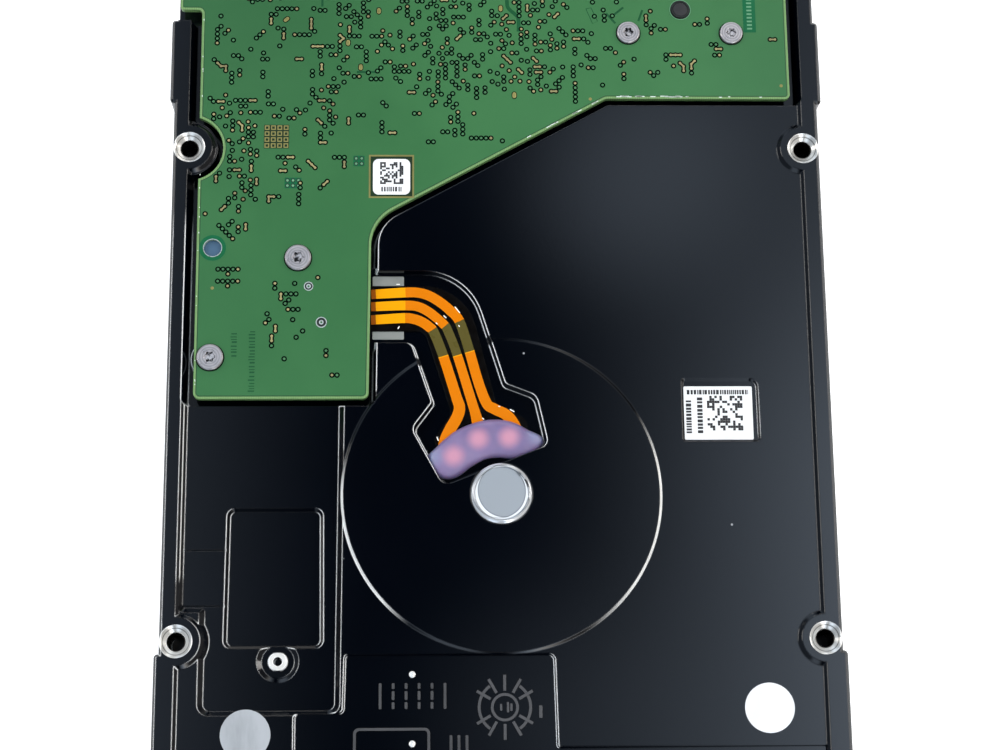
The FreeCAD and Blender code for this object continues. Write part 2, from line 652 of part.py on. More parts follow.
def base_casting():
    envelope = casting_envelope()
    body = envelope.cut(box(-BEYOND, BEYOND, -BEYOND, BEYOND, DECK, HEIGHT + 1))
    body = fused([body, casting_rails(envelope)]).cut(casting_panels())
    body = fused([body] + motor_disc()).cut(casting_pockets())
    inside = [cavity(0.0, 0.0, CAVITY_TOP), cavity(COVER_SEAT, 0.0, GASKET_TOP)]
    body = body.cut(inside)
    stator_seat = ring(SPINDLE, STATOR_BORE_R, SLEEVE_R + 0.3, STATOR_SEAT_LOW, CAVITY_TOP)
    body = fused([body, stator_seat])
    return body.cut(casting_holes())


def top_cover():
    rim = slab(COVER_PLATE, PLATEAU_RISE, COVER_T)
    plateau = drafted(COVER_PLATEAU, 0.0, PLATEAU_RISE, 0.5)
    cuts = [cylinder(hole, 1.25, 0.0, COVER_T) for hole in COVER_SCREWS]
    for hole in (SPINDLE, PIVOT):
        cuts.append(cylinder(hole, 0.9, 0.0, COVER_T))
        cuts.append(cylinder(hole, AXIS_SCREW_SINK_R, 0.0, AXIS_SCREW_HEAD[1]))
    cuts.append(slab(grown(COVER_LABEL, 0.15), 0.0, COVER_LABEL_Z[1]))
    cuts.append(cylinder(BREATHER, 0.6, 0.0, COVER_T))
    return fused([rim, plateau]).cut(cuts)


def cover_label():
    sheet = slab(COVER_LABEL, *COVER_LABEL_Z)
    return sheet.cut([cylinder(hole, LABEL_WINDOW_R, 0.0, 1.0) for hole in (SPINDLE, PIVOT)])


def cover_gasket():
    inner, outer = GASKET_EDGES
    return cavity(outer, COVER_T, GASKET_TOP).cut(cavity(inner, COVER_T, GASKET_TOP))


def cover_screws():
    return [screw(hole, 2.3, COVER_SCREW_HEAD, 0.98, COVER_SCREW_END) for hole in COVER_SCREWS]


def axis_screws():
    """The two screws that tie the cover to the spindle's shaft and the pivot's."""
    return [screw(axis, 2.5, AXIS_SCREW_HEAD, 0.78, 5.5) for axis in (SPINDLE, PIVOT)]


def breather_filter():
    inner, outer = FILTER_R
    return ring(BREATHER, outer, inner, COVER_T, FILTER_TOP)


def circuit_board():
    board = slab(BOARD_OUTLINE, BOARD_BOTTOM, BOARD_TOP)
    notch = (-BOTTOM_HOLE_X, BOTTOM_HOLE_YS[0])
    holes = [(screw_at[:2], BOARD_SCREW_HOLE_R) for screw_at in BOARD_SCREWS]
    holes += [(TOOLING_HOLE, TOOLING_HOLE_R), (BOARD_PIN, BOARD_PIN_HOLE_R), (notch, BOARD_NOTCH_R)]
    return board.cut([cylinder(hole, radius, BOARD_BOTTOM, BOARD_TOP) for hole, radius in holes])


def board_screws():
    head = (BOARD_TOP, BOARD_TOP + BOARD_SCREW_HEAD)
    return [screw((x, y), r, head, BOARD_SCREW_R, BOARD_SCREW_END) for x, y, r in BOARD_SCREWS]


def board_pin():
    profile = (
        (0.0, BOARD_FLOOR - 0.8), (0.78, BOARD_FLOOR - 0.8), (0.78, BOARD_FLOOR), (1.0, BOARD_FLOOR),
        (1.0, BOARD_TOP), (1.3, BOARD_TOP), (1.1, BOARD_TOP + 0.25), (0.0, BOARD_TOP + 0.3),
    )
    return turned(profile, BOARD_PIN)


def board_insulator():
    low, high = BOARD_FLOOR, BOARD_FLOOR + INSULATOR_T
    cuts = [cylinder((x, y), BOARD_BOSS_R + 0.5, low, high) for x, y, _ in BOARD_SCREWS]
    cuts.append(cylinder(BOARD_PIN, 2.0, low, high))
    cuts.append(cylinder((-BOTTOM_HOLE_X, BOTTOM_HOLE_YS[0]), BOARD_NOTCH_R + 0.8, low, high))
    x_low, x_high, y_low, y_high = HEADER_WINDOW
    cuts.append(box(x_low - 1, x_high + 1, y_low - 1, y_high + 1, low, high))
    return slab(INSULATOR, low, high).cut(cuts)


def chip(x, y, half, height):
    """A chip under the board, with its face's edges broken."""
    side = rectangle(x - half, x + half, y - half, y + half, CHIP_EDGE)
    shoulder = BOARD_BOTTOM - height + CHIP_EDGE
    body = slab(side, shoulder, BOARD_BOTTOM)
    nose = drafted(grown(side, -CHIP_EDGE), BOARD_BOTTOM - height, shoulder, CHIP_EDGE)
    return fused([body, nose])


def controller_chip():
    return chip(*CONTROLLER_CHIP)


def support_chips():
    return [chip(*place) for place in SUPPORT_CHIPS]


def board_passives():
    """Rows of small ceramic parts by the chips, and the contacts that press on the motor flex."""
    parts = [box(*FLEX_CONTACT_X, y - 0.6, y + 0.6, FLEX_TOP, BOARD_BOTTOM) for y in FLEX_CONTACT_YS]
    for i in range(9):
        x = -31.0 + 2.6 * i
        for y in (52.4, 55.0):
            parts.append(box(x, x + 1.2, y, y + 0.7, BOARD_BOTTOM - 0.6, BOARD_BOTTOM))
    for i in range(5):
        y = 3.0 + 2.4 * i
        parts.append(box(-41.0, -39.6, y, y + 1.0, BOARD_BOTTOM - 0.8, BOARD_BOTTOM))
    return parts


def sata_connector():
    """The device plug: a bar under the board, two keyed tongues and two guide posts."""
    x_low, x_high = SATA_CENTRE_X - SATA_HALF_LENGTH, SATA_CENTRE_X + SATA_HALF_LENGTH
    back_y = SATA_BACK_Y[1]
    tongue_low = SATA_TONGUE_Z[0]
    parts = [
        box(x_low, x_high, *SATA_BACK_Y, SATA_LOW, BOARD_BOTTOM),
        box(x_low, x_high, back_y, SATA_SHROUD_END_Y, BOARD_BOTTOM - SATA_SHELF_T, BOARD_BOTTOM),
    ]
    for first, last in (SATA_DATA_X, SATA_POWER_X):
        parts.append(box(x_low + first, x_low + last, back_y, SATA_TONGUE_END_Y, *SATA_TONGUE_Z))
        key = (x_low + last - SATA_KEY, x_low + last)
        parts.append(box(*key, back_y, SATA_TONGUE_END_Y, tongue_low - 1.2, tongue_low))
    for first in (x_low, x_high - SATA_POST):
        parts.append(box(first, first + SATA_POST, back_y, SATA_SHROUD_END_Y, SATA_LOW, BOARD_BOTTOM))
    return fused(parts)


def sata_contacts():
    contacts = []
    z_low = SATA_TONGUE_Z[1]
    for offset, count in CONTACT_GROUPS:
        for i in range(count):
            x = SATA_CENTRE_X - SATA_HALF_LENGTH + offset + CONTACT_PITCH * i
            contacts.append(box(
                x - CONTACT_HALF_WIDTH, x + CONTACT_HALF_WIDTH, SATA_BACK_Y[1], CONTACT_END_Y,
                z_low, z_low + CONTACT_T))
    return contacts


def board_label():
    return slab(BOARD_LABEL, BOARD_TOP, BOARD_TOP + LABEL_T)


def casting_label():
    bottom = DECK - LABEL_RECESS_DEPTH
    return slab(CASTING_LABEL, bottom, bottom + LABEL_T)


def hole_seals():
    return [cylinder(seal, SEAL_R, DECK, DECK + SEAL_T) for seal in HOLE_SEALS]


def motor_cap():
    low, high = MOTOR_CAP_Z
    profile = (
        (0.0, low), (MOTOR_CAP_R, low), (MOTOR_CAP_R, high - MOTOR_CAP_EDGE),
        (MOTOR_CAP_R - MOTOR_CAP_EDGE, high), (0.0, high),
    )
    return turned(profile, SPINDLE)


def flex_stiffener():
    return slab(STIFFENER, CHANNEL, STIFFENER_TOP)


def motor_flex():
    return slab(FLEX_OUTLINE, STIFFENER_TOP, FLEX_TOP)


def glue_seal():
    foot = drafted(GLUE_OUTLINE, FLEX_TOP, GLUE_SHOULDER, -0.5)
    crown = drafted(grown(GLUE_OUTLINE, -0.5), GLUE_SHOULDER, GLUE_CROWN, -1.0)
    return fused([foot, crown]).common(flex_channel())


def clamp_screws_at():
    step = 360 / CLAMP_SCREW_COUNT
    return [polar(SPINDLE, CLAMP_SCREW_RING_R, step * i) for i in range(CLAMP_SCREW_COUNT)]


def spindle_hub():
    rotor_r = YOKE_RING_R[1]
    profile = (
        (SLEEVE_R, HUB_LOW), (HUB_R, HUB_LOW), (HUB_R, STACK_HIGH), (HUB_FLANGE_R, STACK_HIGH),
        (HUB_FLANGE_R, HUB_FLANGE_TOP), (rotor_r, HUB_FLANGE_TOP), (rotor_r, HUB_CUP_CEILING),
        (HUB_NECK_R, HUB_CUP_CEILING), (HUB_NECK_R, HUB_NECK_LOW), (SLEEVE_R, HUB_NECK_LOW),
    )
    return turned(profile, SPINDLE).cut([cylinder(hole, 0.95, 4.0, 9.5) for hole in clamp_screws_at()])


def disk_clamp():
    profile = (
        (SLEEVE_R, CLAMP_LOW), (13.2, CLAMP_LOW), (CLAMP_R, CLAMP_LOW + 0.3), (CLAMP_R, STACK_LOW),
        (13.4, STACK_LOW), (13.0, HUB_LOW), (SLEEVE_R, HUB_LOW),
    )
    holes = [cylinder(hole, 1.1, CLAMP_LOW, HUB_LOW) for hole in clamp_screws_at()]
    return turned(profile, SPINDLE).cut(holes)


def clamp_screws():
    return [screw(hole, 1.8, (CLAMP_LOW - 0.7, CLAMP_LOW), 0.93, 9.0) for hole in clamp_screws_at()]


def bearing_sleeve():
    return ring(SPINDLE, SLEEVE_R, SHAFT_R + RUNNING_GAP, *SLEEVE_Z)


def spindle_shaft():
    shaft = cylinder(SPINDLE, SHAFT_R, COVER_T, MOTOR_CAP_Z[0])
    return shaft.cut(cylinder(SPINDLE, AXIS_TAP_R, COVER_T, AXIS_TAP_END))


def rotor_yoke():
    inner, outer = YOKE_RING_R
    return ring(SPINDLE, outer, inner, *YOKE_RING_Z)


def rotor_magnet():
    inner, outer = ROTOR_MAGNET_R
    return ring(SPINDLE, outer, inner, *ROTOR_MAGNET_Z)


def around_stator(shape):
    return [placed(shape, SPINDLE, 360 / TEETH * i) for i in range(TEETH)]


def tooth_bar(x_low, x_high):
    return box(x_low, x_high, -TOOTH_HALF_WIDTH, TOOTH_HALF_WIDTH, *STATOR_Z)


def stator_core():
    rim = ring(SPINDLE, STATOR_RIM_R, STATOR_BORE_R, *STATOR_Z)
    tooth = tooth_bar(STATOR_RIM_R - 0.2, STATOR_R - 0.8)
    shoe = sector((0, 0), STATOR_R - 1.0, STATOR_R, -SHOE_HALF_ANGLE, SHOE_HALF_ANGLE, *STATOR_Z)
    return fused([rim] + around_stator(tooth) + around_stator(shoe))


def stator_coils():
    winding = box(*WINDING_X, -WINDING_HALF_WIDTH, WINDING_HALF_WIDTH, *WINDING_Z)
    return around_stator(winding.cut(tooth_bar(WINDING_X[0] - 1, WINDING_X[1] + 1)))


def platter(index):
    low = STACK_LOW + index * (PLATTER_T + PLATTER_GAP)
    return ring(SPINDLE, PLATTER_R, HUB_R, low, low + PLATTER_T)


def platter_spacers():
    spacers = []
    for index in range(PLATTER_COUNT - 1):
        low = STACK_LOW + PLATTER_T + index * (PLATTER_T + PLATTER_GAP)
        spacers.append(ring(SPINDLE, CLAMP_R, HUB_R, low, low + PLATTER_GAP))
    return spacers


def arm_levels():
    """The middle height of each arm: one outside each end of the stack, and one in each gap."""
    first = STACK_LOW - PLATTER_GAP / 2
    return [first + i * (PLATTER_T + PLATTER_GAP) for i in range(PLATTER_COUNT + 1)]


def head_surfaces():
    """Each recorded surface as its height and the side that its head is on."""
    surfaces = []
    for i in range(PLATTER_COUNT):
        low = STACK_LOW + i * (PLATTER_T + PLATTER_GAP)
        surfaces += [(low, -1), (low + PLATTER_T, 1)]
    return surfaces


def off_surface(surface, side, near, far):
    """The levels between two distances off a recorded surface."""
    return sorted((surface + side * near, surface + side * far))


def actuator_block():
    parts = [cylinder((0, 0), BLOCK_R, *BLOCK_Z)]
    for level in arm_levels():
        plate = slab(ARM, level - ARM_T / 2, level + ARM_T / 2)
        parts.append(plate.cut(slab(ARM_WINDOW, level - ARM_T, level + ARM_T)))
    block = fused(parts).cut(cylinder((0, 0), PIVOT_SLEEVE_R, 0.0, CAVITY_TOP))
    seat = placed(box(COIL_NECK_X, 12.0, -6.0, 6.0, *COIL_LEVELS), (0, 0), COIL_ANGLE - PARK_ANGLE)
    return placed(block.cut(seat), PIVOT, PARK_ANGLE)


def pivot_sleeve():
    return ring(PIVOT, PIVOT_SLEEVE_R, PIVOT_SHAFT_R + RUNNING_GAP, *BLOCK_Z)


def pivot_shaft():
    nose = cylinder(PIVOT, PIVOT_NOSE_R, CAVITY_TOP, CAVITY_TOP + 1.1)
    shaft = cylinder(PIVOT, PIVOT_SHAFT_R, COVER_T, CAVITY_TOP).fuse(nose).removeSplitter()
    return shaft.cut(cylinder(PIVOT, AXIS_TAP_R, COVER_T, AXIS_TAP_END))


def suspensions():
    """One leaf spring for each head, with its base on the arm and its tab past the head."""
    stand_off = (PLATTER_GAP - ARM_T) / 2
    near, far = SPRING_OFFSET
    parts = []
    for surface, side in head_surfaces():
        spring = slab(SPRING_LEAF, *off_surface(surface, side, near, far))
        foot = slab(SPRING_BASE, *off_surface(surface, side, far, stand_off))
        parts.append(placed(fused([spring, foot]), PIVOT, PARK_ANGLE))
    return parts


def sliders():
    parts = []
    for surface, side in head_surfaces():
        levels = off_surface(surface, side, FLY_HEIGHT, SPRING_OFFSET[0])
        length = (HEAD_RADIUS - HEAD_HALF_LENGTH, HEAD_RADIUS + HEAD_HALF_LENGTH)
        body = box(*length, -HEAD_HALF_WIDTH, HEAD_HALF_WIDTH, *levels)
        parts.append(placed(body, PIVOT, PARK_ANGLE))
    return parts


def voice_coil():
    winding = slab(COIL_OUTLINE, *COIL_LEVELS).cut(slab(grown(COIL_OUTLINE, -COIL_WINDING), *COIL_LEVELS))
    return placed(winding, PIVOT, COIL_ANGLE)


def coil_frame():
    rim = slab(grown(COIL_OUTLINE, COIL_FRAME_WALL), *COIL_LEVELS)
    neck = box(COIL_NECK_X, COIL_OUTLINE[0][0], -COIL_NECK_HALF_WIDTH, COIL_NECK_HALF_WIDTH, *COIL_LEVELS)
    inside = [slab(COIL_OUTLINE, *COIL_LEVELS), cylinder((0, 0), PIVOT_SLEEVE_R, *COIL_LEVELS)]
    return placed(fused([rim, neck]).cut(inside), PIVOT, COIL_ANGLE)


def preamp():
    """The head amplifier on its carrier, on the block's flank."""
    face = BLOCK_R + 0.3
    chip_body = box(face, face + 0.6, -2.2, 2.2, 8.0, 12.4)
    carrier = box(BLOCK_R - 0.4, face, -3.4, 3.4, *FLEX_FILM_Z)
    carrier = carrier.cut(cylinder((0, 0), BLOCK_R, *FLEX_FILM_Z))
    return placed(fused([chip_body, carrier]), PIVOT, PREAMP_ANGLE)


def actuator_flex():
    """The ribbon from the block's side to the bracket, in one loose bow."""
    low, high = FLEX_FILM_Z
    ends = (polar(PIVOT, BLOCK_R + 0.4, FLEX_START_ANGLE), FLEX_BOW, FLEX_END)
    outer = [Vector(x, y, low) for x, y in ends]
    path = Part.Arc(*outer).toShape()
    centre = path.Curve.Center
    share = 1 - FLEX_FILM_T / path.Curve.Radius
    inner = [centre + (point - centre) * share for point in outer]
    wire = Part.Wire([
        path, Part.makeLine(outer[2], inner[2]),
        Part.Arc(*inner).toShape(), Part.makeLine(inner[0], outer[0]),
    ])
    return Part.Face(wire).extrude(Vector(0, 0, high - low))


def flex_bracket():
    plate = slab(BRACKET_PLATE, BRACKET_PLATE_LOW, CAVITY_TOP)
    post = box(0.95, 2.2, 37.2, 41.2, FLEX_FILM_Z[0], BRACKET_PLATE_LOW)
    window = box(HEADER_X[0] - 0.2, HEADER_X[1] + 0.2, HEADER_Y[0] - 0.2, HEADER_Y[1] + 0.2,
                 BRACKET_PLATE_LOW, CAVITY_TOP)
    return fused([plate, post]).cut(window)


def head_connector():
    return box(*HEADER_X, *HEADER_Y, HEADER_LOW, BOARD_BOTTOM)


def posts_at():
    return [polar(PIVOT, POST_RING_R, direction) for direction in POST_DIRECTIONS]


def yoke_plate(levels):
    plate = sector(PIVOT, YOKE_INNER_R, YOKE_OUTER_R, *YOKE_DIRECTIONS, *levels)
    holes = [cylinder(post, POST_BORE_R, *levels) for post in posts_at()]
    return plate.common(box(*YOKE_BOUNDS, *levels)).cut(holes)


def lower_yoke():
    return yoke_plate(LOWER_YOKE)


def upper_yoke():
    return yoke_plate(UPPER_YOKE)


def magnet_plate(low, high):
    plate = sector(PIVOT, YOKE_INNER_R + 0.6, YOKE_OUTER_R - 0.8, *MAGNET_DIRECTIONS, low, high)
    return plate.common(box(*MAGNET_BOUNDS, low, high))


def yoke_magnets():
    return [magnet_plate(LOWER_YOKE[1], MAGNET_LOW), magnet_plate(MAGNET_HIGH, UPPER_YOKE[0])]


def yoke_standoffs():
    posts = []
    for post in posts_at():
        posts.append(ring(post, POST_R, POST_BORE_R, LOWER_YOKE[1], UPPER_YOKE[0]))
        posts.append(ring(post, POST_R + 0.6, POST_BORE_R, UPPER_YOKE[1], CAVITY_TOP))
    return posts


def inner_screws():
    """The screws that hold the magnet yokes and the load ramp."""
    yoke_head = (LOWER_YOKE[0] - 0.9, LOWER_YOKE[0])
    ramp_head = (RAMP_FOOT_LOW - 0.9, RAMP_FOOT_LOW)
    screws = [screw(post, 1.9, yoke_head, POST_BORE_R - 0.05, CAVITY_TOP) for post in posts_at()]
    return screws + [screw(ramp_screw_at(), 1.9, ramp_head, 0.85, CAVITY_TOP)]


def crash_stops_at():
    return [polar(PIVOT, STOP_RING_R, direction) for direction in STOP_DIRECTIONS]


def crash_stops():
    return [cylinder(stop, STOP_R, *STOP_Z) for stop in crash_stops_at()]


def crash_stop_sleeves():
    return [ring(stop, STOP_R + STOP_SLEEVE_T, STOP_R, *STOP_SLEEVE_Z) for stop in crash_stops_at()]


def actuator_latch():
    """A plastic lever beside the coil frame, with a hook at its free end."""
    hub = cylinder((0, 0), LATCH_HUB_R, *LATCH_Z)
    tail = box(-6.0, -1.0, -1.1, 1.1, *LATCH_Z)
    lever = fused([slab(LATCH_ARM, *LATCH_Z), hub, tail]).cut(cylinder((0, 0), LATCH_BORE_R, *LATCH_Z))
    return placed(lever, LATCH_PIN, LATCH_ANGLE)


def latch_pin():
    low, high = LATCH_Z[0] - 0.3, LATCH_Z[1] + 0.3
    pin_r = LATCH_BORE_R - 0.05
    profile = (
        (0.0, low - 0.4), (1.5, low - 0.4), (1.5, low), (pin_r, low), (pin_r, high),
        (LATCH_HUB_R, high), (LATCH_HUB_R, CAVITY_TOP), (0.0, CAVITY_TOP),
    )
    return turned(profile, LATCH_PIN)


def ramp_screw_at():
    return polar(PIVOT, RAMP_SCREW_RADIUS, RAMP_SCREW_ANGLE)


def load_ramp():
    """A plastic comb beside the stack, whose ledges reach over both faces of each platter."""
    ledges = []
    for surface, side in head_surfaces():
        levels = off_surface(surface, side, *RAMP_LEDGE)
        ledges.append(box(RAMP_TAB - 1.1, RAMP_BACK[1], *RAMP_SIDES, *levels))
    back = box(*RAMP_BACK, *RAMP_SIDES, *RAMP_BACK_Z)
    foot = box(RAMP_BACK[0], RAMP_BACK[1] + 5.0, 1.4, 7.4, RAMP_FOOT_LOW, CAVITY_TOP)
    ramp = placed(fused([back, foot] + ledges), PIVOT, PARK_ANGLE)
    keep_out = ring(SPINDLE, PLATTER_R + 0.25, HUB_R, 0.0, RAMP_BACK_Z[1] + 0.5)
    solid_ledges = placed(Part.makeCompound(ledges), PIVOT, PARK_ANGLE)
    hole = cylinder(ramp_screw_at(), 0.9, RAMP_FOOT_LOW, CAVITY_TOP)
    return fused([ramp.cut(keep_out), solid_ledges.common(keep_out)]).cut(hole)


def air_filter():
    return slab(AIR_FILTER, *AIR_FILTER_Z)


def desiccant_pack():
    return slab(DESICCANT, DESICCANT_LOW, CAVITY_TOP)


# Each sub-part is saved under its function's name
SUB_PARTS = (
    base_casting, top_cover, cover_gasket, cover_screws, axis_screws, cover_label, breather_filter,
    circuit_board, board_screws, board_pin, board_insulator, controller_chip, support_chips,
    board_passives, sata_connector, sata_contacts, board_label, casting_label, hole_seals,
    motor_cap, flex_stiffener, motor_flex, glue_seal,
    spindle_shaft, bearing_sleeve, spindle_hub, rotor_yoke, rotor_magnet, stator_core, stator_coils,
    platter_spacers, disk_clamp, clamp_screws,
    actuator_block, pivot_sleeve, pivot_shaft, suspensions, sliders, voice_coil, coil_frame, preamp,
    actuator_flex, flex_bracket, head_connector,
    lower_yoke, upper_yoke, yoke_magnets, yoke_standoffs, inner_screws, crash_stops,
    crash_stop_sleeves, actuator_latch, latch_pin, load_ramp, air_filter, desiccant_pack,
)


def save(name, made):
    solids = made if isinstance(made, list) else [made]
    shape = solids[0] if len(solids) == 1 else Part.makeCompound(solids)
    if not shape.isValid() or not shape.Solids:
        raise ValueError(name + " is not a valid solid")
    shape.exportStep("parts/" + name + ".step")


os.makedirs("parts", exist_ok=True)
for sub_part in SUB_PARTS:
    save(sub_part.__name__, sub_part())
for index in range(PLATTER_COUNT):
    save("platter_%d" % (index + 1), platter(index))
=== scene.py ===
import functools
import json
import math
import random

import bmesh
import bpy
from mathutils import Euler, Matrix, Vector
from mathutils.geometry import delaunay_2d_cdt


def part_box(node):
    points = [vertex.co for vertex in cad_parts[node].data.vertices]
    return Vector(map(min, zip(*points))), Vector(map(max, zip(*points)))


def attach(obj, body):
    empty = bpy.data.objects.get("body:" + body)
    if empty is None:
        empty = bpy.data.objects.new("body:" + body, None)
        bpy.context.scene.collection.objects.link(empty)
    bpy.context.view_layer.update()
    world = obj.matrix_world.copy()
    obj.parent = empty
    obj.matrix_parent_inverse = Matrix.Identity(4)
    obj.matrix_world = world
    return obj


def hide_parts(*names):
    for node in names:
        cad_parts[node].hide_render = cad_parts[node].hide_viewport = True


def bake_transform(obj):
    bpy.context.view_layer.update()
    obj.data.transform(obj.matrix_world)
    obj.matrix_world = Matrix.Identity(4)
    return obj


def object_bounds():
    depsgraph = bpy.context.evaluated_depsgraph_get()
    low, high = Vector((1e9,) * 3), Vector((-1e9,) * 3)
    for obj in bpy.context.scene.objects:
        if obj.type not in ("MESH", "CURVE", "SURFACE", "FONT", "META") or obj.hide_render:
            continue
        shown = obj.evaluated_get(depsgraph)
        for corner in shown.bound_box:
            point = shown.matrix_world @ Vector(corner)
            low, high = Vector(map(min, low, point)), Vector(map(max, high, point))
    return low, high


# The looks of a 3.5-inch hard disk drive, board side up. Shapes are drawn in
# millimetres in the drive's own frame, and become metres in Solid.piece().

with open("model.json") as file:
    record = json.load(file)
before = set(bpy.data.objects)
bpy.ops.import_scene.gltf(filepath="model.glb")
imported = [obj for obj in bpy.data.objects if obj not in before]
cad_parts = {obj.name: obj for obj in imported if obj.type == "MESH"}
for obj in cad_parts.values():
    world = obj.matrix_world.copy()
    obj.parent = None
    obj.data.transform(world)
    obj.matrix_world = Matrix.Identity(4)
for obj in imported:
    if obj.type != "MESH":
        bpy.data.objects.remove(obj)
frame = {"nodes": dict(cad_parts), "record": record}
CAD_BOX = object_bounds()

MM = 0.001
NODES = frame["nodes"]
MOUNTS = {mount["name"]: mount for mount in frame["record"]["mounts"]}


def top_of(node):
    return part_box(node)[1].z / MM


def middle_of(node):
    """The middle of a node seen from above, as (x, y)."""
    low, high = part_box(node)
    return ((low.x + high.x) / 2 / MM, (low.y + high.y) / 2 / MM)


def screw_heads():
    """The middle and radius of each board screw's head, from the CAD node's separate solids."""
    above_board, widest = (BOARD_TOP + 0.2) * MM, 6.0
    tops = [v.co / MM for v in NODES["board_screws"].data.vertices if v.co.z > above_board]
    heads = []
    while tops:
        head = [p for p in tops if (p - tops[0]).xy.length < widest]
        tops = [p for p in tops if (p - tops[0]).xy.length >= widest]
        left, right = min(p.x for p in head), max(p.x for p in head)
        near, far = min(p.y for p in head), max(p.y for p in head)
        heads.append(((left + right) / 2, (near + far) / 2, (right - left) / 2))
    return heads


# Levels and places read from the CAD model
MOUNT_PLANE = top_of("base_casting")
BOARD_TOP = top_of("circuit_board")
SCREW_TOP = top_of("board_screws")
LABEL_TOP = top_of("board_label")
CASTING_LABEL_TOP = top_of("casting_label")
FLEX_TOP = top_of("motor_flex")
SPINDLE = middle_of("motor_cap")
PIVOT = middle_of("pivot_shaft")
SCREW_HEADS = screw_heads()
BOTTOM_HOLES = MOUNTS["bottom_holes"]
HOLE_X = BOTTOM_HOLES["dims"]["spacing_x_mm"] / 2
HOLE_HALF_Y = BOTTOM_HOLES["dims"]["spacing_y_mm"] / 2
HOLE_MIDDLE_Y = BOTTOM_HOLES["pos_m"][1] / MM
HOLES = [
    (side * HOLE_X, HOLE_MIDDLE_Y + end * HOLE_HALF_Y)
    for side in (-1, 1) for end in (-1, 1)
]
BORE_R = BOTTOM_HOLES["dims"]["hole_r_mm"]
SIDE_HOLES = [MOUNTS[name] for name in ("left_side_holes", "right_side_holes")]

# The casting: its holes, the motor's disc, a small boss, and places where the painted edge highlights are
# kept or left out
SINK_R, SINK_DEPTH = 2.4, 1.6
BORE_DEPTH = 6.5
SIDE_SINK_R = 1.98
MOTOR_DISC_R, MOTOR_FACE = 23.95, 25.8
RIM_WIDTH = 0.26
EDGE_RADIUS, HIGHLIGHT_WIDTH = 0.26, 0.42
SMALL_BOSS, SMALL_BOSS_R, SMALL_BOSS_TOP = (-32.85, -46.85), 1.28, 24.6
LOWER_PANEL_TOP = 25.1
LABEL_CORNER = (40.2, -9.2)
WALL_CORNER = (-45.4, -37.6)
BESIDE_GLUE = (-1.0, -19.5)
LEFT_SEAL = (-37.3, -57.5)

# The board: its coat, and what lies on it
MASK_TOP = BOARD_TOP + 0.03
MASK_FOOT = MASK_TOP - 0.01
TOOLING_HOLE, TOOLING_HOLE_R = (-43.7, 16.1), 1.34
HOLE_FLOOR = BOARD_TOP - 0.6
LABEL_FRAME = (-19.93, -12.96, 24.16, 31.18)
PAD_GRID = (-34.25, 34.15)
FIDUCIALS = ((44.7, 42.8), (14.6, 40.5), (-43.6, 9.7))
BOARD_PIN, BOARD_PIN_R = (29.15, 55.6), 1.6
BOARD_NOTCH_R = 5.2
RING_VIAS = ((-29.0, 10.0, 0.72), (-27.0, 4.3, 0.85))
REVISION_STRIP = (39.1, 41.1, 51.8, 60.5)
# Columns of small print: x, top and length
PRINT_COLUMNS = ((-40.2, 2.6, 3.6), (-37.45, 2.9, 9.6))
# Small squares of dark pads: first place, and how many across and down
PATCH_GRIDS = ((-32.45, 27.0, 3, 2), (-21.9, 30.6, 2, 2))


# ---------------------------------------------------------------- materials


def linear(colour, factor=1.0):
    """A 0-255 display colour as Blender's linear one, lighter or darker by a factor."""
    shares = [value / 255 for value in colour]
    values = [s / 12.92 if s <= 0.04045 else ((s + 0.055) / 1.055) ** 2.4 for s in shares]
    return tuple(min(1.0, value * factor) for value in values) + (1.0,)


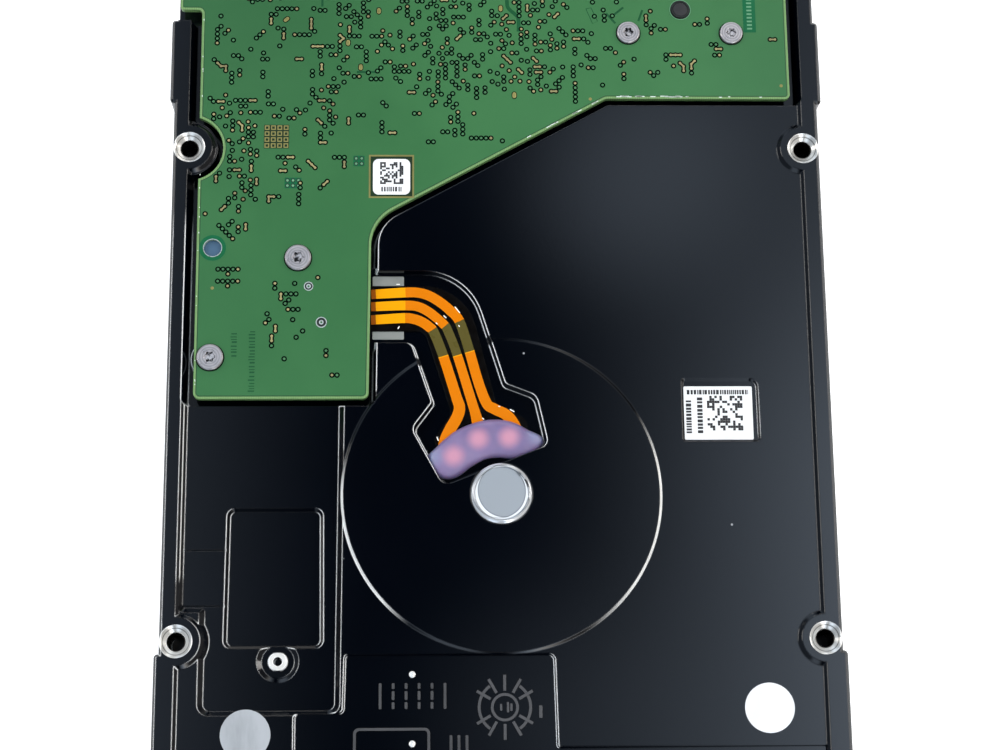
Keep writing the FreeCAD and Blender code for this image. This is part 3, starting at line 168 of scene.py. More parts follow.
class Nodes:
    """Short calls that add and wire the nodes of a tree."""

    def __init__(self, tree, coordinates):
        self.tree = tree
        self.place = tree.nodes.new("ShaderNodeTexCoord").outputs[coordinates]

    def feed(self, socket, value):
        """Links an output to a socket, or sets a value on it; a colour of three is a display one."""
        if isinstance(value, bpy.types.NodeSocket):
            self.tree.links.new(value, socket)
        elif socket.type == "RGBA" and len(value) == 3:
            socket.default_value = linear(value)
        else:
            socket.default_value = value

    def node(self, kind, inputs=(), **settings):
        node = self.tree.nodes.new("ShaderNode" + kind)
        for key, value in settings.items():
            setattr(node, key, value)
        for key, value in dict(inputs).items():
            self.feed(node.inputs[key], value)
        return node

    def math(self, operation, a, b=0.0):
        return self.node("Math", {0: a, 1: b}, operation=operation).outputs[0]

    def vector(self, operation, a, b):
        return self.node("VectorMath", {0: a, 1: b}, operation=operation).outputs

    def axes(self, value):
        return self.node("SeparateXYZ", {0: value}).outputs

    def product(self, *values):
        return functools.reduce(functools.partial(self.math, "MULTIPLY"), values)

    def largest(self, *values):
        return functools.reduce(functools.partial(self.math, "MAXIMUM"), values)

    def rest(self, value):
        """What is left of 1."""
        return self.math("SUBTRACT", 1.0, value)

    def ramp(self, value, low, high, out_low=0.0, out_high=1.0):
        inputs = {"Value": value, "From Min": low, "From Max": high, "To Min": out_low, "To Max": out_high}
        return self.node("MapRange", inputs, interpolation_type="SMOOTHSTEP").outputs["Result"]

    def within(self, value, limit, soft):
        """1 up to a limit, fading to 0 over a soft stretch after it."""
        return self.ramp(value, limit + soft, limit)

    def beyond(self, value, limit, soft):
        """1 from a limit on, fading to 0 over a soft stretch before it."""
        return self.ramp(value, limit - soft, limit)

    def band(self, value, start, full, full_end, end):
        """1 between two inner limits, fading to 0 at two outer ones."""
        return self.product(self.ramp(value, start, full), self.ramp(value, end, full_end))

    def mix(self, factor, a, b):
        node = self.node("Mix", data_type="RGBA")
        values = {"Factor_Float": factor, "A_Color": a, "B_Color": b}
        for socket in node.inputs:
            if socket.identifier in values:
                self.feed(socket, values[socket.identifier])
        return next(s for s in node.outputs if s.identifier == "Result_Color")

    def away_from_line(self, x, y):
        """Distance to an upright line, in the coordinates' own unit."""
        flat = self.vector("MULTIPLY", self.place, (1, 1, 0))[0]
        return self.vector("DISTANCE", flat, (x, y, 0))["Value"]


class Paint(Nodes):
    """A procedural material in the making, with its places and distances in millimetres."""

    def __init__(self, name):
        self.material = bpy.data.materials.new(name)
        self.material.use_nodes = True
        super().__init__(self.material.node_tree, "Object")
        self.shader = self.tree.nodes["Principled BSDF"]

    def noise(self, scale, detail=2.0, roughness=0.5, stretch=None):
        """Noise of about 1/scale metres, stretched along an axis if asked."""
        place = self.place
        if stretch:
            place = self.node("Mapping", {"Vector": place, "Scale": stretch}).outputs["Vector"]
        inputs = {"Vector": place, "Scale": scale, "Detail": detail, "Roughness": roughness}
        return self.node("TexNoise", inputs).outputs["Fac"]

    def distance_to(self, point):
        """Distance to a point, or to an upright line where the point has two numbers."""
        if len(point) == 2:
            away = self.away_from_line(*[c * MM for c in point])
        else:
            away = self.vector("DISTANCE", self.place, [c * MM for c in point])["Value"]
        return self.math("DIVIDE", away, MM)

    def nearest(self, points):
        """Distance to the nearest of some points or upright lines."""
        distances = [self.distance_to(point) for point in points]
        return functools.reduce(functools.partial(self.math, "MINIMUM"), distances)

    def along(self, axis):
        """The place along one axis."""
        return self.math("DIVIDE", self.axes(self.place)[axis], MM)

    def made(self, **sockets):
        """The material, with these values or nodes on its shader."""
        for name, value in sockets.items():
            self.feed(self.shader.inputs[name.replace("_", " ")], value)
        return self.material

    def bump(self, height, strength, depth, normal=None):
        inputs = {"Height": height, "Strength": strength, "Distance": depth * MM}
        if normal is not None:
            inputs["Normal"] = normal
        return self.node("Bump", inputs).outputs["Normal"]

    def rounded(self, radius, samples=6):
        """A normal that rounds sharp edges by a radius."""
        return self.node("Bevel", {"Radius": radius * MM}, samples=samples).outputs["Normal"]

    def side_edges(self, radius, sharp=0.9, flat=0.985):
        """1 along sharp edges that face sideways, where a rounded normal leaves the flat one."""
        flat_normal = self.node("NewGeometry").outputs["True Normal"]
        rounded = self.rounded(radius, 12)
        agree = self.vector("DOT_PRODUCT", rounded, flat_normal)["Value"]
        sideways = self.math("ABSOLUTE", self.axes(rounded)["X"])
        return self.product(self.ramp(agree, sharp, flat, 1.0, 0.0), self.ramp(sideways, 0.1, 0.4))


def plain(name, colour, roughness, metallic, grain, vary, bump, edge=0.0, ior=1.5, stretch=None):
    """A material with grain in its colour, roughness and bump, and softened edges if asked."""
    paint = Paint(name)
    fine = paint.noise(grain, 4.0, 0.55, stretch)
    broad = paint.noise(grain / 14, 3.0)
    light = linear(colour, 1 + vary)
    blotch = paint.mix(paint.ramp(broad, 0.3, 0.7), linear(colour, 1 - vary), light)
    return paint.made(
        Base_Color=paint.mix(paint.ramp(fine, 0.35, 0.65, 0.0, 0.35), blotch, light),
        Roughness=paint.ramp(fine, 0.3, 0.7, roughness * 0.85, min(1.0, roughness * 1.15)),
        Metallic=metallic,
        IOR=ior,
        Normal=paint.bump(fine, bump, 0.02, paint.rounded(edge) if edge else None),
    )


# Plain finishes: colour, roughness, metallic, grain, vary and bump, then edge, ior and stretch
PLAIN_FINISHES = {
    "screw_steel_satin": ((196, 192, 192), 0.34, 0.85, 2400, 0.06, 0.2, 0.1),
    "ground_steel": ((150, 152, 155), 0.25, 1.0, 2000, 0.08, 0.15, 0.1),
    "moulded_black": ((26, 26, 28), 0.45, 0.0, 1800, 0.15, 0.3, 0.12),
    "enamelled_copper": ((168, 88, 44), 0.3, 0.8, 1400, 0.2, 0.5, 0.15, 1.5, (1, 1, 6)),
    "felt": ((226, 226, 222), 0.9, 0.0, 2600, 0.1, 0.8),
    "chip_package": ((30, 30, 32), 0.5, 0.0, 2200, 0.2, 0.3, 0.1),
    "nickel_plate": ((176, 172, 164), 0.22, 1.0, 500, 0.08, 0.1, 0.2),
    "gold_plate": ((205, 170, 96), 0.28, 1.0, 1500, 0.1, 0.1, 0.05),
    "ivory_plastic": ((226, 220, 204), 0.4, 0.0, 1500, 0.05, 0.2, 0.12),
    "gasket": ((40, 40, 42), 0.75, 0.0, 1600, 0.2, 0.4),
    "insulator_foam": ((46, 46, 50), 0.9, 0.0, 1300, 0.25, 0.8),
    "ceramic_parts": ((150, 124, 96), 0.5, 0.0, 900, 0.2, 0.2, 0.08),
    "stiffener": ((146, 148, 142), 0.4, 0.35, 500, 0.3, 0.3, 0.05, 1.5, (0.3, 1.0, 1.0)),
    "flex_film_black": ((8, 6, 5), 0.14, 0.0, 700, 0.3, 0.05, 0.05, 1.35),
    "bonded_magnet": ((60, 60, 64), 0.6, 0.2, 1200, 0.15, 0.3, 0.1),
    "amber_film": ((196, 122, 30), 0.3, 0.0, 600, 0.15, 0.1),
    "deep_green": ((4, 92, 54), 0.35, 0.0, 900, 0.12, 0.1, 0.0, 1.35),
    "mask_edge": ((24, 70, 34), 0.35, 0.0, 900, 0.15, 0.1),
    # Dark outline of painted shade round vias, pads and screw heads
    "via_shade": ((0, 14, 6), 0.7, 0.0, 1200, 0.2, 0.1, 0.0, 1.1),
    "via_cap": ((58, 112, 68), 0.3, 0.0, 1200, 0.2, 0.1),
    "tinned_pad": ((140, 132, 88), 0.4, 0.1, 1500, 0.3, 0.3),
    "gold_finish": ((138, 132, 76), 0.38, 0.4, 1500, 0.12, 0.2),
    "dark_ground": ((22, 44, 22), 0.45, 0.0, 1100, 0.2, 0.1, 0.0, 1.3),
    "plated_ring": ((200, 208, 204), 0.3, 0.6, 1500, 0.12, 0.2),
    "covered_track": ((14, 76, 40), 0.35, 0.0, 900, 0.15, 0.1, 0.0, 1.35),
    "label_ink": ((24, 24, 26), 0.5, 0.0, 2500, 0.2, 0.1),
    "blued_backing": ((46, 72, 94), 0.5, 0.0, 700, 0.8, 0.8),
    "ring_shade": ((6, 14, 10), 0.4, 0.0, 1500, 0.3, 0.1),
    "pale_mark": ((98, 152, 112), 0.4, 0.0, 1500, 0.1, 0.1),
    # Pale glare along the board's edge: painted highlight
    "glare_white": ((226, 236, 228), 0.3, 0.0, 1500, 0.1, 0.2),
    "amber_lead": ((218, 120, 0), 0.32, 0.0, 300, 0.06, 0.12, 0.0, 1.2),
    "amber_lead_bright": ((240, 160, 0), 0.32, 0.0, 300, 0.05, 0.12, 0.0, 1.2),
    "olive_lead": ((84, 76, 30), 0.3, 0.0, 500, 0.2, 0.2, 0.0, 1.3),
    "shaded_lead": ((146, 74, 4), 0.34, 0.0, 300, 0.1, 0.12, 0.0, 1.2),
    "painted_glint": ((250, 246, 238), 0.3, 0.0, 1500, 0.05, 0.1),
    "olive_film": ((6, 6, 3), 0.25, 0.0, 700, 0.2, 0.1, 0.0, 1.2),
    # Thread steel darkened as painted shade inside the bores
    "shaded_thread": ((44, 42, 40), 0.25, 0.9, 1500, 0.12, 0.2),
    "dull_cast": ((58, 58, 60), 0.5, 0.0, 600, 0.35, 0.5, 0.06),
    "worn_dot": ((235, 235, 232), 0.3, 0.4, 1500, 0.12, 0.2),
}


@functools.cache
def finish(name):
    """The plain material of that name, made when it is first asked for."""
    return plain(name, *PLAIN_FINISHES[name])


def bare_metal(paint, near_hole, height):
    """1 on machined metal: sinks and bores of the mounting holes, side holes and the boss's face."""
    sinks = paint.product(paint.within(near_hole, SINK_R + 0.02, 0.05),
                          paint.beyond(height, MOUNT_PLANE - SINK_DEPTH, 0.1))
    bores = paint.product(paint.within(near_hole, BORE_R + 0.1, 0.05),
                          paint.beyond(height, MOUNT_PLANE - BORE_DEPTH, 0.1))
    boss_face = paint.product(paint.within(paint.distance_to(SMALL_BOSS), SMALL_BOSS_R, 0.05),
                              paint.beyond(height, SMALL_BOSS_TOP - 0.1, 0.1))
    side_holes = []
    for mount in SIDE_HOLES:
        x, y, z = [c / MM for c in mount["pos_m"]]
        reach = mount["dims"]["spacing_x_mm"] / 2
        side_holes += [(x, y - reach, z), (x, y + reach, z)]
    side_sinks = paint.within(paint.nearest(side_holes), SIDE_SINK_R, 0.07)
    return paint.largest(sinks, bores, boss_face, side_sinks), boss_face


def rim_highlight(paint, height):
    """The motor disc's turned rim: 1 where its bare chamfer is painted bright as a highlight on the lit
    sides, and 1 beside it on the unlit side, where edge highlights are left out.
    """
    away = paint.distance_to(SPINDLE)
    lit_sides = paint.largest(*[
        paint.ramp(paint.distance_to(towards(SPINDLE, MOTOR_DISC_R, degrees)), far, near)
        for degrees, near, far in ((200, 8.0, 14.5), (-14, 8.0, 19.0))
    ])
    inner, outer = MOTOR_DISC_R - RIM_WIDTH, MOTOR_DISC_R + 0.02
    rim = paint.band(away, inner - 0.08, inner, outer, outer + 0.1)
    rim = paint.product(rim, paint.beyond(height, MOTOR_FACE - 0.3, 0.1), lit_sides)
    around = paint.band(away, MOTOR_DISC_R - 0.8, MOTOR_DISC_R - 0.5, MOTOR_DISC_R + 0.4, MOTOR_DISC_R + 0.7)
    return rim, paint.product(around, paint.rest(lit_sides))


def edge_highlights(paint, unlit_rim):
    """1 along the sideways-facing edges where a white highlight is painted, which fade out towards the far
    and right sides.
    """
    unlit = paint.largest(
        unlit_rim,
        paint.ramp(paint.distance_to(BESIDE_GLUE), 9.5, 7.0),
        paint.ramp(paint.distance_to(WALL_CORNER), 4.0, 2.8),
    )
    near_left = paint.product(paint.ramp(paint.along("X"), 22.0, 16.0),
                              paint.ramp(paint.along("Y"), 23.0, 18.0))
    painted_light = paint.largest(near_left, paint.ramp(paint.distance_to(LABEL_CORNER), 4.8, 3.9))
    return paint.product(paint.side_edges(HIGHLIGHT_WIDTH), painted_light, paint.rest(unlit))


def dust_specks(paint):
    """1 on a few specks, one in some cells of a random pattern."""
    cell = paint.node("TexVoronoi", {"Vector": paint.place, "Scale": 260.0, "Randomness": 1.0})
    speck = paint.ramp(cell.outputs["Distance"], 0.055, 0.03)
    chosen = paint.math("GREATER_THAN", paint.axes(cell.outputs["Color"])[0], 0.93)
    return paint.product(speck, chosen)


def casting_material():
    """Glossy black coat over a casting: orange peel, dust, bare machined metal, painted highlights along lit
    edges and the motor disc's rim, and painted shade down the bores.
    """
    paint = Paint("black_coat")
    height = paint.along("Z")
    near_hole = paint.nearest(HOLES)
    bare, boss_face = bare_metal(paint, near_hole, height)
    rim, unlit_rim = rim_highlight(paint, height)
    lit_edges = edge_highlights(paint, unlit_rim)
    bright = paint.largest(bare, rim, lit_edges)

    coat = paint.mix(paint.ramp(paint.noise(55, 3.0), 0.35, 0.7), (0, 2, 7), (1, 3, 9))
    coat = paint.mix(dust_specks(paint), coat, (150, 152, 155))
    ridges = paint.noise(2600, 2.0, 0.5, (0.2, 0.2, 1.0))
    metal = paint.mix(ridges, (205, 203, 198), (252, 250, 245))
    sink_line = paint.product(paint.band(near_hole, 1.86, 1.94, 1.98, 2.06), 0.8)
    metal = paint.mix(sink_line, metal, (60, 56, 50))
    # Painted shade: the bores' metal darkens going down below the sinks.
    deep = paint.product(paint.within(near_hole, BORE_R + 0.02, 0.08),
                         paint.ramp(height, MOUNT_PLANE - 0.9, MOUNT_PLANE - SINK_DEPTH))
    metal = paint.mix(deep, metal, (20, 18, 16))
    # Painted highlight: pure white along the lit edges, kept out of the metallic too.
    metal = paint.mix(lit_edges, metal, (255, 255, 254))
    shine = paint.math("SUBTRACT", 0.7, paint.product(boss_face, 0.5))
    return paint.made(
        Base_Color=paint.mix(bright, coat, metal),
        Metallic=paint.product(bare, shine, paint.rest(lit_edges)),
        Roughness=paint.ramp(bright, 0.0, 1.0, 0.1, 0.22),
        Normal=paint.bump(paint.noise(1500), 0.03, 0.02, paint.rounded(EDGE_RADIUS)),
        IOR=1.5,
    )


def mask_material():
    """Solder mask: green, a little uneven over the copper below, slightly glossy, and with painted shade
    towards its far left corner.
    """
    paint = Paint("solder_mask")
    fine = paint.noise(2200, 3.0, 0.6)
    green = paint.mix(paint.ramp(paint.noise(30, 4.0, 0.6), 0.3, 0.7), (44, 101, 54), (54, 111, 62))
    # Painted shade: the green darkens towards the far left corner.
    corner = paint.ramp(paint.distance_to((-42.0, 60.0)), 42.0, 8.0, 0.0, 0.5)
    green = paint.mix(corner, green, (34, 84, 44))
    return paint.made(
        Base_Color=paint.mix(paint.ramp(fine, 0.42, 0.75, 0.0, 0.05), green, (34, 82, 46)),
        Roughness=0.3,
        IOR=1.5,
        Normal=paint.bump(fine, 0.03, 0.01),
    )


def laminate_material():
    """Bare glass epoxy, with its weave showing."""
    paint = Paint("bare_laminate")
    weave = paint.node("TexWave", {"Vector": paint.place, "Scale": 900.0, "Distortion": 0.6}).outputs["Fac"]
    fine = paint.ramp(paint.noise(1500, 3.0, 0.6), 0.4, 0.8, 0.0, 0.5)
    colour = paint.mix(weave, (98, 138, 80), (120, 156, 96))
    return paint.made(
        Base_Color=paint.mix(fine, colour, (96, 132, 78)),
        Roughness=0.5,
        Normal=paint.bump(weave, 0.2, 0.02, paint.rounded(0.1)),
    )


@functools.cache
def glue_material():
    """Lavender glue, pink where a lead shines through it, and pale blue where it thins, with the pale blue at
    its right tip a painted highlight.
    """
    paint = Paint("lavender_glue")
    colour = paint.mix(paint.ramp(paint.noise(140, 3.0), 0.3, 0.7), (114, 99, 141), (134, 116, 156))
    for spot in GLUE_THIN_AND_LIT:
        thin_and_lit = paint.ramp(paint.distance_to(spot), 2.4, 0.4)
        colour = paint.mix(paint.product(thin_and_lit, 0.6), colour, (142, 150, 180))
    glow = paint.ramp(paint.nearest(GLUE_GLOWS), 2.3, 0.3)
    return paint.made(
        Base_Color=paint.mix(paint.product(glow, 0.85), colour, (210, 148, 168)),
        Roughness=0.36,
        Subsurface_Weight=0.2,
        Subsurface_Scale=0.8 * MM,
        Normal=paint.bump(paint.noise(420), 0.2, 0.05),
    )


def cap_material():
    """Satin turned cap: a groove near its edge, painted highlight crescents in it, each edged by a line of
    painted shade, and a dark stain.
    """
    paint = Paint("turned_cap")
    away = paint.distance_to(SPINDLE)
    colour = paint.mix(paint.ramp(away, 3.9, 4.3), (162, 168, 174), (240, 242, 244))
    ring = paint.band(away, 3.5, 3.9, 4.1, 4.35)
    side = paint.ramp(paint.distance_to((SPINDLE[0] + 3.9, SPINDLE[1] + 1.2)), 3.0, 1.6)
    stain = paint.product(ring, side, paint.ramp(paint.noise(620, 5.0, 0.7), 0.45, 0.55))
    colour = paint.mix(stain, colour, (44, 46, 50))
    # Painted highlights: two off-centre crescents on the rim, each with a darker line of painted shade.
    for shift_x, shift_y in ((0.5, 0.4), (-0.45, 0.25)):
        off_centre = paint.distance_to((SPINDLE[0] + shift_x, SPINDLE[1] + shift_y))
        crescent_highlight = paint.product(paint.ramp(off_centre, 4.02, 4.12), paint.ramp(away, 3.98, 3.9))
        colour = paint.mix(crescent_highlight, colour, (246, 248, 250))
        crescent_shade = paint.band(off_centre, 3.88, 3.94, 4.02, 4.08)
        colour = paint.mix(paint.product(crescent_shade, 0.45), colour, (70, 76, 82))
    grain = paint.bump(paint.noise(900, 3.0), 0.15, 0.03, paint.rounded(0.2))
    return paint.made(
        Base_Color=colour,
        Metallic=0.55,
        Roughness=paint.ramp(away, 3.6, 4.1, 0.42, 0.16),
        Normal=paint.bump(paint.band(away, 3.9, 4.05, 4.15, 4.35), 1.0, 0.16, grain),
    )


def screw_material():
    """Plated screw heads: faint turned rings, a bright edge, and a dark, rough socket of painted shade with
    painted glints.
    """
    paint = Paint("plated_screw")
    away = paint.nearest([(x, y) for x, y, _ in SCREW_HEADS])
    rings = paint.math("SINE", paint.product(away, 16.0))
    cloud = paint.noise(1100, 3.0, 0.6)
    colour = paint.mix(paint.ramp(rings, -0.9, 0.9), (166, 162, 163), (192, 187, 189))
    # Painted shade in the socket, broken by painted glints.
    socket = paint.product(paint.ramp(away, 1.15, 0.95),
                           paint.ramp(paint.along("Z"), SCREW_TOP - 0.03, SCREW_TOP - 0.08))
    painted_light = paint.mix(paint.ramp(cloud, 0.45, 0.6), (40, 38, 40), (210, 206, 208))
    return paint.made(
        Base_Color=paint.mix(socket, colour, painted_light),
        Metallic=0.75,
        Roughness=paint.ramp(cloud, 0.3, 0.7, 0.26, 0.4),
        Normal=paint.bump(rings, 0.1, 0.03, paint.rounded(0.1)),
    )


def seal_material():
    """Thin foil seals with faint streaks, the left one greyer."""
    paint = Paint("seal_film")
    streaks = paint.noise(260, 4.0, 0.6, (1.0, 0.25, 1.0))
    greyer = paint.ramp(paint.distance_to(LEFT_SEAL), 12.0, 8.0)
    light = paint.mix(greyer, (238, 239, 240), (172, 176, 180))
    shade = paint.mix(greyer, (228, 229, 231), (150, 154, 158))
    return paint.made(
        Base_Color=paint.mix(paint.ramp(streaks, 0.35, 0.65), light, shade),
        Roughness=0.42,
        Normal=paint.bump(streaks, 0.3, 0.06),
    )


def brushed(name, colour, roughness, stretch, edge):
    """Metal brushed along one axis."""
    paint = Paint(name)
    lines = paint.noise(5200, 3.0, 0.6, stretch)
    dark = linear(colour, 0.8)
    shade = paint.mix(paint.ramp(lines, 0.3, 0.7), dark, colour)
    return paint.made(
        Base_Color=paint.mix(paint.ramp(paint.noise(40, 3.0), 0.3, 0.7, 0.0, 0.3), shade, dark),
        Metallic=1.0,
        Roughness=paint.ramp(lines, 0.3, 0.7, roughness * 0.8, roughness * 1.3),
        Normal=paint.bump(lines, 0.12, 0.02, paint.rounded(edge)),
    )


def turned_metal(name, colour, centre, roughness=0.22):
    """Metal with the fine rings of a lathe about an upright axis."""
    paint = Paint(name)
    rings = paint.math("SINE", paint.product(paint.distance_to(centre), 42.0))
    return paint.made(
        Base_Color=paint.mix(paint.ramp(rings, -1, 1), linear(colour, 0.86), colour),
        Metallic=1.0,
        Roughness=paint.ramp(paint.noise(300, 3.0), 0.3, 0.7, roughness * 0.9, roughness * 1.1),
        Normal=paint.bump(rings, 0.08, 0.02, paint.rounded(0.1)),
    )


def paper(name, colour):
    """Coated label paper, with faint streaks."""
    paint = Paint(name)
    streaks = paint.noise(700, 3.0, 0.6, (1.0, 0.15, 1.0))
    fibre = paint.noise(3000, 4.0, 0.6)
    return paint.made(
        Base_Color=paint.mix(paint.ramp(streaks, 0.35, 0.7), colour, linear(colour, 0.9)),
        Roughness=paint.ramp(fibre, 0.3, 0.7, 0.42, 0.55),
        Normal=paint.bump(fibre, 0.12, 0.02),
    )


# ---------------------------------------------------------------- mesh tools


def towards(centre, radius, degrees):
    """The point at a distance from a centre, in a direction."""
    angle = math.radians(degrees)
    return (centre[0] + radius * math.cos(angle), centre[1] + radius * math.sin(angle))


def arc(centre, radius, first, last, count):
    """Points along an arc between two directions in degrees."""
    return [towards(centre, radius, first + (last - first) * i / count) for i in range(count + 1)]


def circle(centre, radius, count=16):
    return arc(centre, radius, 0, 360, count)[:-1]


def arc_through(start, middle, end, inset, count):
    """Points on the arc through three points, drawn in towards its centre."""
    (ax, ay), (bx, by), (cx, cy) = start, middle, end
    squares = [x * x + y * y for x, y in (start, middle, end)]
    twice = 2 * (ax * (by - cy) + bx * (cy - ay) + cx * (ay - by))
    x = (squares[0] * (by - cy) + squares[1] * (cy - ay) + squares[2] * (ay - by)) / twice
    y = (squares[0] * (cx - bx) + squares[1] * (ax - cx) + squares[2] * (bx - ax)) / twice
    first, last = (math.degrees(math.atan2(py - y, px - x)) for px, py in (start, end))
    return arc((x, y), math.dist((x, y), start) - inset, first, last, count)


def capsule(centre, length, width, degrees, count=6):
    """A round-ended slot shape, turned by an angle."""
    reach = (length - width) / 2
    points = arc((reach, 0), width / 2, -90, 90, count) + arc((-reach, 0), width / 2, 90, 270, count)
    c, s = math.cos(math.radians(degrees)), math.sin(math.radians(degrees))
    return [(centre[0] + x * c - y * s, centre[1] + x * s + y * c) for x, y in points]


def rectangle(x_low, x_high, y_low, y_high, radius=0.0):
    if radius <= 0:
        return [(x_low, y_low), (x_high, y_low), (x_high, y_high), (x_low, y_high)]
    corners = (
        ((x_high - radius, y_low + radius), -90), ((x_high - radius, y_high - radius), 0),
        ((x_low + radius, y_high - radius), 90), ((x_low + radius, y_low + radius), 180),
    )
    points = []
    for corner, first in corners:
        points += arc(corner, radius, first, first + 90, 4)
    return points


def square(centre, half, radius=0.0):
    x, y = centre
    return rectangle(x - half, x + half, y - half, y + half, radius)


def smooth(points, steps, closed=False):
    """A Catmull-Rom curve through points of any number of coordinates, open or closed."""
    count = len(points)
    curve = []
    for i in range(count if closed else count - 1):
        around = (i - 1, i, i + 1, i + 2)
        indices = [k % count if closed else min(max(k, 0), count - 1) for k in around]
        p0, p1, p2, p3 = [Vector(points[k]) for k in indices]
        for step in range(steps):
            t = step / steps
            point = 0.5 * (2 * p1 + (p2 - p0) * t + (2 * p0 - 5 * p1 + 4 * p2 - p3) * t * t
                           + (3 * p1 - p0 - 3 * p2 + p3) * t ** 3)
            curve.append(tuple(point))
    return curve if closed else curve + [tuple(points[-1])]


class Solid:
    """Closed shapes collected in millimetres, which become one piece."""

    def __init__(self):
        self.points = []
        self.faces = []

    def loft(self, rings, wrap=False):
        """A skin over rings of equal length, with caps, or joined from the last ring to the first."""
        first, count, levels = len(self.points), len(rings[0]), len(rings)
        for ring in rings:
            self.points += ring
        for level in range(levels if wrap else levels - 1):
            low = first + level * count
            high = first + (level + 1) % levels * count
            for i in range(count):
                j = (i + 1) % count
                self.faces.append((low + i, low + j, high + j, high + i))
        if not wrap:
            last = first + (levels - 1) * count
            self.faces.append(tuple(range(first + count - 1, first - 1, -1)))
            self.faces.append(tuple(range(last, last + count)))

    def slab(self, outline, z_low, z_high, crown=0.0, share=0.82):
        """An upright slab; crown rounds its top by that height."""
        middle = (sum(p[0] for p in outline) / len(outline), sum(p[1] for p in outline) / len(outline))

        def ring(z, scale):
            return [(middle[0] + (x - middle[0]) * scale, middle[1] + (y - middle[1]) * scale, z)
                    for x, y in outline]

        rings = [ring(z_low, 1.0), ring(z_high - crown, 1.0)]
        if crown > 0:
            rings.append(ring(z_high, share))
        self.loft(rings)

    def tube(self, outer, inner, z_low, z_high):
        """A wall between an outer and an inner outline with as many points."""
        levels = ((outer, z_low), (outer, z_high), (inner, z_high), (inner, z_low))
        self.loft([[(x, y, z) for x, y in outline] for outline, z in levels], wrap=True)

    def washer(self, centre, outer, inner, z_low, z_high, count=24):
        self.tube(circle(centre, outer, count), circle(centre, inner, count), z_low, z_high)

    def ribbon(self, path, z_low, z_high, width=None):
        """A flat strip along a path, of one width or with a width as each point's third number."""
        rings = []
        for i, point in enumerate(path):
            x, y = point[:2]
            ahead, behind = path[min(i + 1, len(path) - 1)], path[max(i - 1, 0)]
            dx, dy = ahead[0] - behind[0], ahead[1] - behind[1]
            half = (width or point[2]) / 2 / (math.hypot(dx, dy) or 1.0)
            left, right = (x - dy * half, y + dx * half), (x + dy * half, y - dx * half)
            rings.append([right + (z_low,), right + (z_high,), left + (z_high,), left + (z_low,)])
        self.loft(rings)

    def piece(self, name, finish_name, slot, body="chassis", smooth_shaded=False):
        mesh = bpy.data.meshes.new(name)
        mesh.from_pydata([tuple(c * MM for c in p) for p in self.points], [], self.faces)
        outward = bmesh.new()
        outward.from_mesh(mesh)
        bmesh.ops.recalc_face_normals(outward, faces=outward.faces)
        outward.to_mesh(mesh)
        outward.free()
        return dress(mesh, name, finish(finish_name), body, smooth_shaded)


def dress(mesh, name, material, body="chassis", smooth_shaded=False):
    """Makes a piece of a mesh: its material and the body that it rides on."""
    mesh.materials.append(material)
    for polygon in mesh.polygons:
        polygon.use_smooth = smooth_shaded
    piece = bpy.data.objects.new(name, mesh)
    bpy.context.scene.collection.objects.link(piece)
    if body is not None:
        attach(piece, body)
    return piece


# ---------------------------------------------------------------- camera, light and floor

# The viewing angle: above the board side, leaning back from the near end, in millimetres and degrees
CAMERA_PLACE = (-10.5885, -80.845, 333.32)
CAMERA_TURN = (14.0322, -1.8389, -0.5505)
WARM_WHITE = (1.0, 0.97, 0.93)


def add_camera():
    data = bpy.data.cameras.new("camera")
    data.sensor_width = 36.0
    data.lens = 75.62
    data.clip_start = 0.01
    data.clip_end = 20.0
    camera = bpy.data.objects.new("camera", data)
    bpy.context.scene.collection.objects.link(camera)
    turn = Euler([math.radians(angle) for angle in CAMERA_TURN]).to_matrix().to_4x4()
    camera.matrix_world = Matrix.Translation(Vector(CAMERA_PLACE) * MM) @ turn
    bpy.context.scene.camera = camera


def add_floor():
    """A plain, pale, evenly lit floor."""
    mesh = bpy.data.meshes.new("floor")
    half_size, gap = 4.0, 0.0002
    corners = [(x, y, CAD_BOX[0][2] - gap) for x, y in square((0, 0), half_size)]
    mesh.from_pydata(corners, [], [(0, 1, 2, 3)])
    paint = Paint("pale_floor")
    white = paint.mix(paint.noise(3.0), (244, 244, 244), (248, 248, 248))
    mesh.materials.append(paint.made(
        Base_Color=white, Roughness=0.9, Emission_Color=(255, 255, 255), Emission_Strength=0.75))
    floor = bpy.data.objects.new("floor", mesh)
    bpy.context.scene.collection.objects.link(floor)


def add_softbox(name, place, size, power):
    """A rectangular soft light that faces the drive."""
    data = bpy.data.lights.new(name, "AREA")
    data.shape = "RECTANGLE"
    data.size, data.size_y = size
    data.energy = power
    data.color = WARM_WHITE
    light = bpy.data.objects.new(name, data)
    light.location = place
    light.rotation_euler = (-Vector(place)).to_track_quat("-Z", "Y").to_euler()
    light.visible_camera = False
    bpy.context.scene.collection.objects.link(light)


